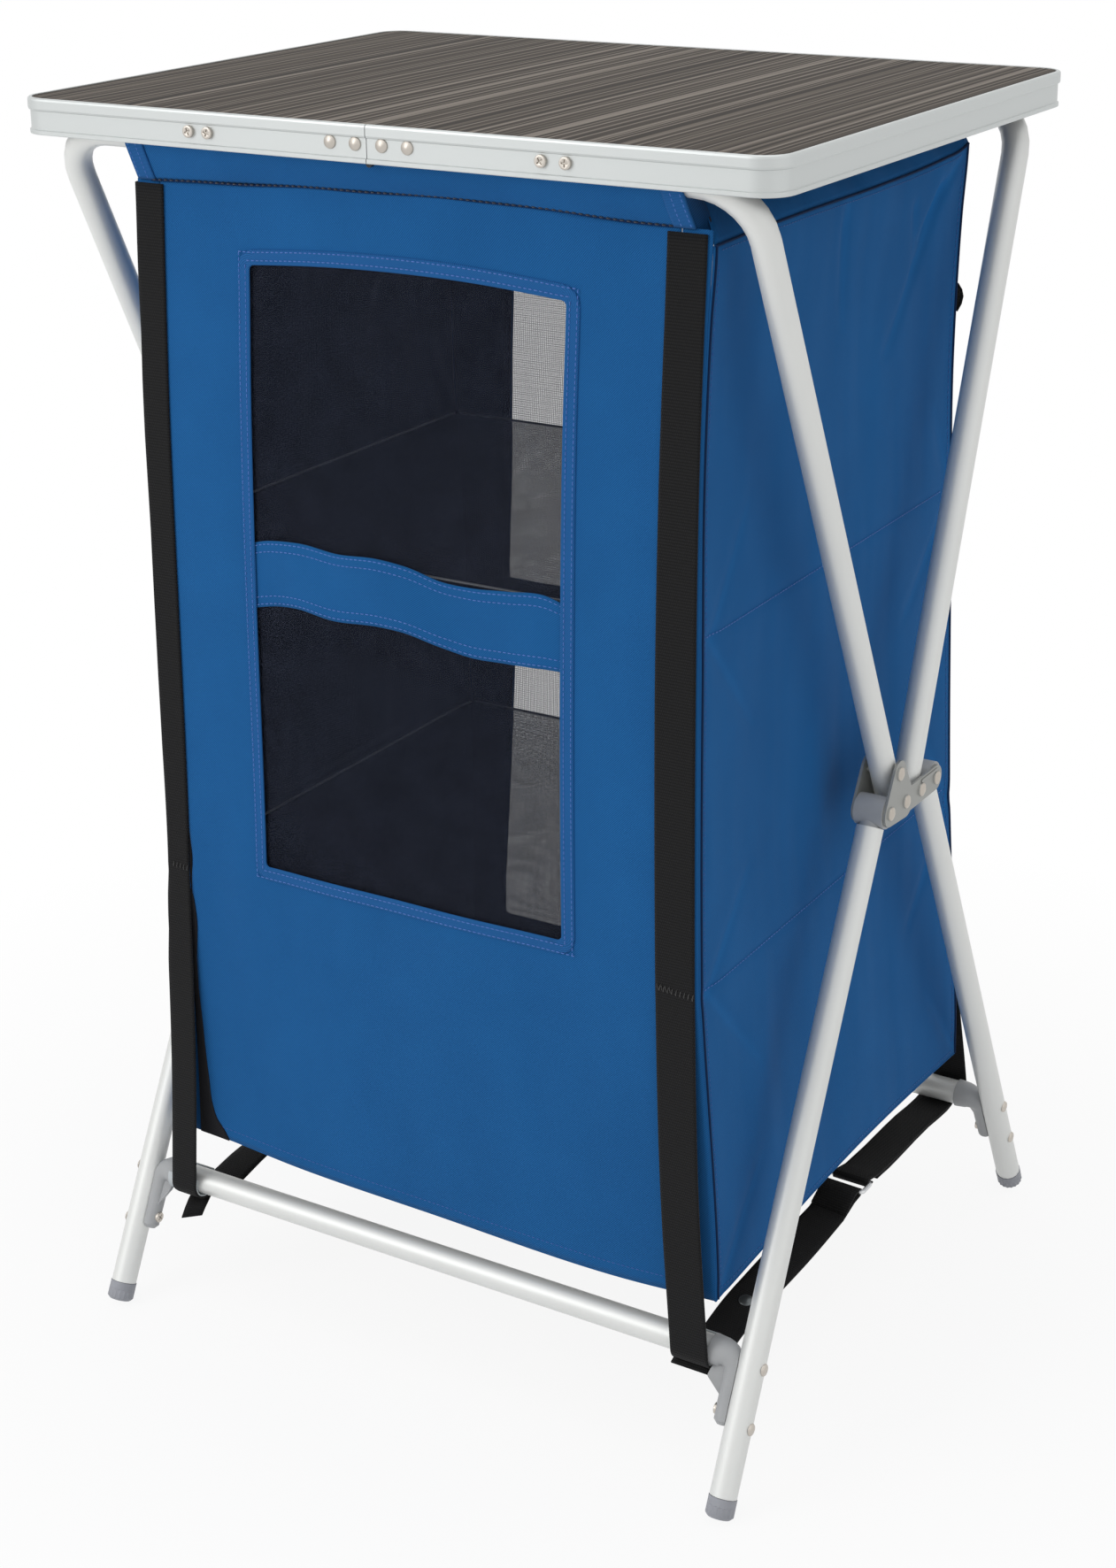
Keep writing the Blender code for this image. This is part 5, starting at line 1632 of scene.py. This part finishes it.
def floor_place(u, v):
    front, back = float(front_y(floor_z)) + 0.0012, float(rear_y(floor_z)) - 0.0012
    y = front + (back - front) * v
    x = (2 * u - 1) * (inner_x - 0.0004)
    share_side, share_end = np.abs(2 * u - 1) ** 4, np.abs(2 * v - 1) ** 4
    z = (
        0.1445
        + (side_hem(y) - 0.1445 + 0.0006) * share_side * (1 - share_end)
        + (np.where(v < 0.5, front_hem(x), side_hem(0.206)) - 0.1445 + 0.0006) * share_end
    )
    return (
        x + lean(x, floor_z), y,
        z + 0.0012 * np.sin(9 * u + 2) * np.sin(11 * v) * (1 - share_side) * (1 - share_end)
    )


base = lay_sheet(
    "floor_cloth", np.linspace(0, 1, 60), np.linspace(0, 1, 50), floor_place, dark_cloth, BASE_CLOTH,
    flat=lambda u, v: (0.472 * u, 0.424 * v)
)
hang(base, "frame", ["box_floor"], "stretched")

# %% [markdown]
# ## Corner straps
# Flat webbing runs down each corner: sewn to the box as far as a bar of close zigzag stitches,
# then free to the cross tube and round it. At the front it ends in a short free tail. The paths
# follow points read off the photograph.

# %% Corner strap paths
cross_z = 0.103


def leg_y(z):
    """How far from the middle the axis of each leg lies at a height."""
    return 0.0405 + 0.2305 * (0.461 - z) / 0.461


cross_front, cross_rear = -leg_y(cross_z), leg_y(cross_z)
strap_out = 0.0136
strap_levels = (0.099, 0.210, 0.400, 0.760, 0.907)
strap_line_right = smooth_curve(strap_levels, (0.2290, 0.2225, 0.2190, 0.2205, 0.2255))
strap_line_left = smooth_curve(strap_levels, (-0.2325, -0.2238, -0.2152, -0.2090, -0.2030))
free_from = 0.380


def strap_path(side, facing):
    """From the top seam down the cloth, then free to the outer side of the cross tube and round it."""
    line = strap_line_right if side > 0 else strap_line_left
    face = front_y if facing > 0 else rear_y
    tube = cross_front if facing > 0 else cross_rear
    stand = CLOTH / 2 + WEBBING / 2 + 0.0005
    path = []
    lift = float(top_seam(float(line(seam_z)))) if facing > 0 else 0.0
    for z in np.linspace(seam_z - 0.0026, free_from, 90):
        path.append(
            (
                float(line(z)), float(face(z)) - facing * stand,
                float(z + lift * np.clip((z - 0.872) / 0.035, 0, 1))
            )
        )
    last = path[-1]
    foot_y = tube - facing * strap_out
    for t in np.linspace(0, 1, 30)[1:]:
        z = last[2] + (cross_z - last[2]) * t
        ease = t * t * (3 - 2 * t) * 0.35 + t * 0.65
        path.append((float(line(z)), last[1] + (foot_y - last[1]) * ease, float(z)))
    for t in np.linspace(0, math.radians(118 if facing > 0 else 62), 16)[1:]:
        path.append(
            (
                float(line(cross_z)), tube - facing * strap_out * math.cos(t),
                cross_z - strap_out * math.sin(t)
            )
        )
    end = path[-1]
    for t in (0.25, 0.5, 0.75, 1.0) if facing > 0 else ():
        path.append((end[0], end[1] + facing * (0.012 * t), end[2] - 0.004 * t * t))
    return path


def fold_line(side, z):
    """The box's corner, and below the tuck a fold that runs down the free strap on the left."""
    corner = box_x + side * lean(side * box_x, z)
    free = -strap_line_left(z) + 0.0073 if side < 0 else 0.2500
    share = np.clip((free_from - z) / 0.08, 0, 1)
    return corner * (1 - share) + free * share


print("points along a front strap:", len(strap_path(1, 1)))

# %% [markdown]
# ## Lay the corner straps
# A strap is a little wider than the face that it lies on, so its outer edge folds back round
# the box's corner. The bar of stitches is a zigzag of black thread that stops at that fold.

# %% Corner straps
for place, facing in (("front", 1), ("rear", -1)):
    for letter, side in sides:
        path = strap_path(side, facing)
        name = "corner_webbing_" + place + "_" + letter
        centre = np.array(path)
        run = np.concatenate([[0], np.cumsum(np.linalg.norm(np.diff(centre, axis=0), axis=1))])

        def strap_place(u, v):
            """Where the strap is wider than its face, its edge folds back round the corner."""
            index = row_of(v)
            x, y, z = (centre[index, k] for k in range(3))
            u = u * (1 - 0.07 * np.clip((z - 0.6) / 0.25, 0, 1))
            over = np.maximum(0.0, side * (x + u) - fold_line(side, z))
            return x + u - side * np.maximum(0, over - 0.0013), y + facing * np.maximum(0, over - 0.0006), z

        strap = lay_sheet(
            name, np.linspace(-0.015, 0.015, 15), np.arange(len(path)), strap_place, webbing, WEBBING,
            flat=lambda u, v: (u, run[row_of(v)]), flip=facing < 0
        )
        hang(
            strap, "frame", ["corner_strap_" + place + "_" + letter], "hung",
        )
        line = strap_line_right if side > 0 else strap_line_left
        face = front_y if facing > 0 else rear_y
        rows = []
        for k in range(18):
            z = free_from + 0.012 - 0.0062 * (k % 2) - 0.0001 * k
            x = float(line(z)) - 0.0136 + 0.0016 * k
            z_next = free_from + 0.012 - 0.0062 * ((k + 1) % 2)
            stand = CLOTH / 2 + WEBBING + 0.0006
            if side * x > float(fold_line(side, z)) - 0.002:
                continue
            rows.append(
                [
                    (x, float(face(z)) - facing * stand, z),
                    (x + 0.0016, float(face(z_next)) - facing * stand, z_next)
                ]
            )
        sewn = sew(
            name + "_bartack", rows, (0, -facing, 0), black_thread, length=0.0055, gap=0.0002, width=0.0009,
            lift=0.0003
        )
        hang(sewn, "frame")

# %% [markdown]
# ## Spreader straps
# Two more straps run from front to rear between the cross tubes, so the feet can't slide apart.
# Each is two pieces joined by a wire ring. The front piece passes under the front tube, sags,
# and folds back round the ring's front bar. The rear piece folds round the ring's other bar and
# lies in two plies under the rear tube. Both paths are given as Y and Z.

# %% Spreader paths
ring_y, ring_wire = 0.040, 0.0018
fold_z = cross_z + WEBBING + 0.0006 + ring_wire
fold_reach = ring_wire + 0.0003 + WEBBING / 2
under = cross_z - (0.010 + 0.0003 + WEBBING / 2 + 0.0001)
sags = smooth_curve(
    (-0.185, -0.155, -0.110, -0.060, 0.000, 0.060, 0.100, 0.140),
    (0.0885, 0.0935, 0.0950, 0.0960, 0.0985, 0.1008, 0.0988, 0.0960)
)
spreader = [
    (cross_front - 0.0105, under - 0.0042), (cross_front - 0.0060, under - 0.0024),
    (cross_front, under - 0.0006), (cross_front + 0.014, under - 0.0012)
]
ring_low, ring_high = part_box("spreader_ring_R")
bar_y, bar_level = ring_low[1] + ring_wire, (ring_low[2] + ring_high[2]) / 2
spreader += [(y, float(sags(y))) for y in np.linspace(-0.185, bar_y - 0.030, 22)]
spreader += [(bar_y - 0.010, bar_level - fold_reach - 0.0006)]
spreader += [
    (bar_y + fold_reach * math.cos(t), bar_level + fold_reach * math.sin(t))
    for t in np.linspace(-math.pi / 2, math.pi / 2, 9)
]
spreader += [
    (bar_y - 0.010, bar_level + fold_reach - 0.0006), (bar_y - 0.026, float(sags(bar_y - 0.026)) + 0.0024)
]
rear_part = [
    (0.056, 0.1032), (0.066, 0.1022), (0.080, 0.1002), (0.100, 0.0985), (0.120, 0.0972), (0.140, 0.0960)
]
around_rear = (
    (-0.050, -0.0096), (-0.025, -0.0134), (-0.008, -0.0148), (0.0, -0.0141), (0.0060, -0.0128),
    (0.0108, -0.0091), (0.0128, -0.0060), (0.0133, -0.0043), (0.0131, -0.0030), (0.0121, -0.0039),
    (0.0109, -0.0063), (0.0081, -0.0097), (0.0043, -0.0118), (0.0, -0.0126), (-0.008, -0.0128),
    (-0.025, -0.0116), (-0.050, -0.0078), (-0.075, -0.0054),
)
rear_part += [(cross_rear + across, cross_z + up) for across, up in around_rear]
rear_part += [(0.10, cross_z - 0.0022), (0.06, cross_z + WEBBING / 2 + 0.0014)]
rear_part += [
    (ring_y + fold_reach * math.cos(t), fold_z + fold_reach * math.sin(t))
    for t in np.linspace(math.pi / 2, 3 * math.pi / 2, 9)
]
rear_part += [(ring_y + 0.008, fold_z - fold_reach)]
print("spreader ring bars at y", round(float(bar_y), 4), "and", ring_y)

# %% [markdown]
# ## Lay the spreader straps
# A strap that is pulled and twisted a little shows more of its face, so each one is tilted about
# its length near the front. The left one ends at the tube, and the right one has a short tail.

# %% Spreader straps
for letter, side in sides:
    middle_x = 0.2275 if side > 0 else 0.2235
    halves = (
        ("front_", spreader if side > 0 else spreader[2:], (), "front_cross_tube"),
        ("rear_", rear_part, ["spreader_strap_" + letter], "rear_cross_tube")
    )
    for half, points, replaced, tube in halves:
        path = [(side * (middle_x - 0.0065 * min(max((y - 0.06) / 0.14, 0), 1)), y, z) for y, z in points]
        tilt = [0.26 * hump(y, -0.075, 0.075) for x, y, z in path]
        strap = ribbon(
            "spreader_webbing_" + half + letter, path, [(1, 0, -side * t) for t in tilt], 0.030, webbing,
            WEBBING, 6
        )
        hang(strap, "rear_lower", replaced, "stretched", squash=False)

# %% [markdown]
# ## Loose ends
# Three small strips complete the webbing: a frayed end that sticks out beside the left strap, a
# loop sewn into the rear corner, and a black strip of zip tape from under the left strap to the
# zip's lower end, which is painted shade: it stands for the shade of the free-hanging strap.

# %% Loose ends
loose = [
    (-0.2285, -0.2090, 0.0880), (-0.2262, -0.2150, 0.0874), (-0.2230, -0.2235, 0.0866),
    (-0.2195, -0.2325, 0.0850), (-0.2158, -0.2416, 0.0828)
]
slants = [(1, 0.10, 0), (1, 0.20, 0), (1, 0.45, 0), (1, 0.80, 0), (1, 1.20, -0.1)]
tail = ribbon("loose_tail", loose, slants, 0.0165, webbing, WEBBING)
hang(tail, "frame", (), "hung")

bulge = [
    (0.2335, 0.1650, 0.8060), (0.2356, 0.1675, 0.8010), (0.2364, 0.1684, 0.7960), (0.2356, 0.1675, 0.7905),
    (0.2335, 0.1650, 0.7850)
]
tab = ribbon("rear_tab", bulge, (0.8, -0.6, 0), 0.0104, webbing, WEBBING)
hang(tab, "frame", (), "hung")
shade_strip_levels = (0.130, 0.1508, 0.160, 0.175, 0.196, 0.219, 0.250, 0.295, 0.3487, 0.363, 0.374)
shade_strip_edge = smooth_curve(
    shade_strip_levels,
    (-0.1880, -0.1941, -0.2006, -0.2042, -0.2047, -0.2052, -0.2050, -0.2055, -0.2002, -0.2014, -0.2050)
)


def shade_strip_place(u, v):
    """From under the strap to the zip, whose line swings inwards at its foot."""
    left = strap_line_left(v) + 0.010
    x = left + (shade_strip_edge(v) - left) * u
    return front_point(x - lean(x, v), v, 0.0008)


# Painted shade: a black strip where the free left strap's shade falls beside the zip.
shade_strip = lay_sheet(
    "painted_shade_strip", np.linspace(0, 1, 7), np.linspace(floor_z, 0.374, 70), shade_strip_place, zip_tape, TAPE,
    flat=lambda u, v: (0.0101 * u, v)
)
hang(shade_strip, "frame", (), "stretched")

# %% [markdown]
# ## Hardware by hand
# Screws and rivets are small, so their shape is in their silhouette and their rounded edge. Each
# is a primitive added at its size and shaped in edit mode: code picks the faces or edges, and
# an operator moves them. One is modelled at the origin, and each copy gets its own mesh that is
# moved to its place.


# %% Edit helpers
def clear_marks(kind):
    bpy.ops.object.mode_set(mode="EDIT")
    bpy.ops.mesh.select_mode(type=kind)
    bpy.ops.mesh.select_all(action="DESELECT")
    bpy.ops.object.mode_set(mode="OBJECT")


def select_faces(piece, wanted):
    """In object mode, marks the faces for which wanted(centre, normal) holds."""
    clear_marks("FACE")
    for face in piece.data.polygons:
        face.select = bool(wanted(face.center, face.normal))
    bpy.ops.object.mode_set(mode="EDIT")


def select_edges(piece, wanted):
    """In object mode, marks the edges for whose both ends wanted(place) holds."""
    clear_marks("EDGE")
    for edge in piece.data.edges:
        edge.select = all(wanted(piece.data.vertices[k].co) for k in edge.vertices)
    bpy.ops.object.mode_set(mode="EDIT")


def copy_to(model, name, matrix, body):
    piece = bpy.data.objects.new(name, model.data.copy())
    piece.data.transform(matrix)
    if matrix.determinant() < 0:
        piece.data.flip_normals()
    scene.collection.objects.link(piece)
    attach(piece, body)
    return piece


def facing_matrix(place, outward, turn=0.0):
    """Turns +Z to outward, with a spin about it, and moves to place."""
    swing = Vector(outward).normalized().to_track_quat("Z", "Y").to_matrix().to_4x4()
    return Matrix.Translation(place) @ swing @ Matrix.Rotation(turn, 4, "Z")


print("edit helpers ready")

# %% [markdown]
# ## A rivet's head
# The dome grows out of a low cylinder: its top face is extruded upwards three times, and each
# ring is made smaller than the one below.


# %% Dome rivet
def model_dome(name, radius, height, material):
    """A rivet's round head: a low cylinder whose top edge is rounded into a dome."""
    deselect()
    bpy.ops.mesh.primitive_cylinder_add(
        vertices=28, radius=radius, depth=height * 0.35, location=(0, 0, height * 0.175)
    )
    piece = bpy.context.object
    piece.name = name
    bpy.ops.object.transform_apply(location=True)
    for share in (0.86, 0.66, 0.40):
        select_faces(
            piece,
            lambda centre, normal: normal.z > 0.9 and centre.length < radius and centre.z > height * 0.3
        )
        lift = (
            height
            * (math.sqrt(max(0, 1 - share**2)) - math.sqrt(max(0, 1 - min(1, share + 0.22) ** 2)))
            * 0.75
        )
        bpy.ops.mesh.extrude_region_move(TRANSFORM_OT_translate={"value": (0, 0, max(lift, 0.00008))})
        scale = share / min(1.0, share + (0.14 if share == 0.86 else 0.20 if share == 0.66 else 0.26))
        bpy.ops.transform.resize(value=(scale, scale, 1), center_override=(0, 0, 0))
        bpy.ops.object.mode_set(mode="OBJECT")
    piece.data.materials.append(material)
    smooth_below(piece, 50)
    return piece


dome = model_dome("dome_rivet", 0.0046, 0.0021, rivet_metal)
print("dome rivet:", len(dome.data.vertices), "points")


# %% [markdown]
# ## A screw
# The head is a cylinder with an inset, raised top and a soft edge. Two thin boxes cut its cross
# with Boolean modifiers.


# %% Phillips screw
def model_screw(name, radius, height, material):
    deselect()
    bpy.ops.mesh.primitive_cylinder_add(
        vertices=32, radius=radius, depth=height, location=(0, 0, height / 2)
    )
    piece = bpy.context.object
    piece.name = name
    bpy.ops.object.transform_apply(location=True)
    select_faces(piece, lambda centre, normal: normal.z > 0.9)
    bpy.ops.mesh.inset(thickness=radius * 0.18)
    bpy.ops.transform.translate(value=(0, 0, height * 0.12))
    bpy.ops.object.mode_set(mode="OBJECT")
    arm, width = radius * 0.60, radius * 0.11
    cutters = []
    for turn in (0, math.pi / 2):
        deselect()
        bpy.ops.mesh.primitive_cube_add(size=1, location=(0, 0, height * 1.1))
        cutter = bpy.context.object
        cutter.scale = (arm * 2, width * 2, height * 1.1)
        cutter.rotation_euler = (0, 0, turn)
        bpy.ops.object.transform_apply(location=True, rotation=True, scale=True)
        cutters.append(cutter)
    only(piece)
    for cutter in cutters:
        cut = piece.modifiers.new("cross", "BOOLEAN")
        cut.object = cutter
        cut.operation = "DIFFERENCE"
        cut.solver = "EXACT"
        bpy.ops.object.modifier_apply(modifier=cut.name)
        bpy.data.objects.remove(cutter)
    soften = piece.modifiers.new("edges", "BEVEL")
    soften.width = radius * 0.06
    soften.segments = 2
    bpy.ops.object.modifier_apply(modifier=soften.name)
    piece.data.materials.append(material)
    smooth_below(piece, 40)
    return piece


screw = model_screw("pan_screw", 0.0042, 0.0022, rivet_metal)
print("screw:", len(screw.data.vertices), "points")

# %% [markdown]
# ## Place the fixings
# The front profile carries two screws near each corner and four rivets about the split. Their
# distances from the split were read off the photograph. The rear profile has the same ones.

# %% Fixings on the profiles
profile_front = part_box("edge_profile_L")[0].y
profile_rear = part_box("edge_profile_L")[1].y
web_in = 0.0016
fixings = (
    (screw, "profile_screw", 0.949, (-0.146, -0.130, 0.133, 0.151), 0.9),
    (dome, "profile_rivet", 0.950, (-0.029, -0.009, 0.012, 0.032), 0.0),
)
for place, face_y, facing in (("front", profile_front + web_in, -1), ("rear", profile_rear - web_in, 1)):
    for model, name, z, xs, turn in fixings:
        for k, x in enumerate(xs):
            body = "tabletop_left" if x < 0 else "tabletop_right"
            spin = 0.4 + turn * k if turn else 0.0
            copy_to(
                model, f"{name}_{place}_{k}", facing_matrix((x, face_y, z), (0, facing, 0), spin), body,
            )
print("front profile at y", round(profile_front, 4), "rear profile at y", round(profile_rear, 4))

# %% [markdown]
# ## The elbow's web
# Each moulded elbow has a thin web in its bend. It is a box whose top and bottom faces are moved
# along the leg's slope, and whose lower inner edge is pulled up, which makes it a wedge.


# %% Elbow web
def model_web():
    low, high, middle_x, middle_z = 0.076, 0.0965, 0.2510, 0.088
    deselect()
    bpy.ops.mesh.primitive_cube_add(size=1, location=(middle_x, -leg_y(middle_z), (low + high) / 2))
    piece = bpy.context.object
    piece.scale = (0.0125, 0.0075, high - low)
    bpy.ops.object.transform_apply(location=True, scale=True)
    for level in (low, high):
        select_faces(piece, lambda centre, normal: abs(centre.z - level) < 1e-4)
        bpy.ops.transform.translate(value=(0, (level - middle_z) / 2, 0))
        bpy.ops.object.mode_set(mode="OBJECT")
    select_edges(piece, lambda place: place.z < middle_z and place.x < middle_x)
    bpy.ops.transform.translate(value=(0, 0, high - 0.0045 - low))
    bpy.ops.object.mode_set(mode="OBJECT")
    soften = piece.modifiers.new("edges", "BEVEL")
    soften.width = 0.0012
    soften.segments = 3
    apply_modifiers(piece)
    piece.data.materials.append(grey_plastic)
    smooth_below(piece, 40)
    return piece


web = model_web()
print("elbow web:", len(web.data.vertices), "points")

# %% [markdown]
# ## Fixings on the legs
# Each leg is riveted through to its elbow: two domes on its outer side near the foot, and a
# screw on its inner side. They lie on the leg's axis, so their height gives their place along
# it. The webs are mirrored to the other legs.

# %% Fixings on the legs
leg_x, leg_radius = 0.273, 0.010
for place, facing, body in (("front", -1, "front_lower"), ("rear", 1, "rear_lower")):
    for letter, side in sides:
        for k, z in enumerate((0.100, 0.062)):
            outer_face = leg_x + leg_radius - 0.0006
            spot = facing_matrix((side * outer_face, facing * leg_y(z), z), (side, 0, 0))
            copy_to(dome, f"leg_rivet_{place}_{letter}_{k}", spot, body)
        elbow = nodes[f"{place}_elbow_{letter}"].data
        inner_face = min(abs(point.co.x) for point in elbow.vertices if point.co.z < 0.078)
        spot = facing_matrix((side * (inner_face + 0.0014), facing * leg_y(0.068), 0.068), (-side, 0, 0), 0.7)
        copy_to(screw, f"elbow_screw_{place}_{letter}", spot, body)
        copy_to(web, f"elbow_web_{place}_{letter}", Matrix.Diagonal((side, -facing, 1, 1)), body)
    print(place, "legs: rivets, screws and webs placed")

# %% [markdown]
# ## Strap clips
# A pale plastic clip snaps over the front cross tube and pinches each corner strap against it. It
# is a short piece of tube with a slit: a cylinder without its ends, whose slit faces are
# deleted, thickened by Solidify and softened by a bevel.


# %% Strap clips
def model_clip():
    deselect()
    bpy.ops.mesh.primitive_cylinder_add(
        vertices=36, radius=0.0121, depth=0.029, end_fill_type="NOTHING", rotation=(0, math.pi / 2, 0)
    )
    piece = bpy.context.object
    bpy.ops.object.transform_apply(rotation=True)
    select_faces(
        piece,
        lambda centre, normal: centre.z > 0.0 and abs(math.atan2(centre.y, centre.z)) < math.radians(62)
    )
    bpy.ops.mesh.delete(type="FACE")
    bpy.ops.object.mode_set(mode="OBJECT")
    wall = piece.modifiers.new("wall", "SOLIDIFY")
    wall.thickness = 0.0010
    wall.offset = 0
    soften = piece.modifiers.new("edges", "BEVEL")
    soften.width = 0.0003
    soften.segments = 2
    apply_modifiers(piece)
    piece.data.materials.append(clear_plastic)
    smooth_below(piece, 45)
    return piece


clip = model_clip()
for letter, side in sides:
    copy_to(
        clip, "strap_clip_" + letter,
        Matrix.Translation((side * (0.2275 if side > 0 else 0.2320), cross_front, cross_z)), "front_lower",
    )
print("strap clips placed")

# %% [markdown]
# ## Press studs
# A stud near the front of each spreader strap is the same dome as a rivet's, only larger and
# duller. It leans with the strap's face. The models themselves are removed at the end.

# %% Press studs
stud_metal = make_metal("dull_stud_metal", (0.16, 0.175, 0.18), 0.35, metallic=0.6)
stud = model_dome("press_stud", 0.0054, 0.0024, stud_metal)
for letter, side in sides:
    place = (side * 0.2278, -0.1428, float(sags(-0.1428)) + 0.0008)
    copy_to(
        stud, "strap_stud_" + letter, facing_matrix(place, (0.10 * side, -0.35, 1)), "rear_lower"
    )
for model in (dome, screw, clip, stud, web):
    bpy.data.objects.remove(model)
print("press studs placed")

# %% [markdown]
# ## Floor
# The floor is a large pale sheet. Far from the object it is pure white for the camera; near
# it, a tenth of its own pale colour shows under the white, so that a faint shadow stays and no
# horizon shows.

# %% Floor
deselect()
bpy.ops.mesh.primitive_circle_add(vertices=96, radius=14.0, fill_type="NGON", location=(0, 0, -0.0005))
floor = bpy.context.object
floor.name = "studio_floor"
floor_paint, tree, shader = start_material("pale_floor", 0.9, Specular_IOR_Level=0.1)
shader.inputs["Base Color"].default_value = (0.93, 0.93, 0.93, 1)
glow = put(tree, "ShaderNodeEmission", {"Color": (1, 1, 1, 1), "Strength": 1.0})
direct = put(tree, "ShaderNodeLightPath").outputs
place = object_place(tree)
distance = put(tree, "ShaderNodeVectorMath", {0: place}, operation="LENGTH").outputs["Value"]
far = put(
    tree, "ShaderNodeMapRange",
    {"Value": distance, "From Min": 0.35, "From Max": 0.95, "To Min": 0.90, "To Max": 1.0}
)
shows = sums(tree, "MAXIMUM", direct["Is Camera Ray"], direct["Is Glossy Ray"])
white = sums(tree, "MULTIPLY", shows, far.outputs["Result"])
mixed = put(tree, "ShaderNodeMixShader", {0: white, 1: shader.outputs["BSDF"], 2: glow.outputs["Emission"]})
tree.links.new(mixed.outputs[0], tree.nodes["Material Output"].inputs["Surface"])
floor.data.materials.append(floor_paint)
print("floor ready")
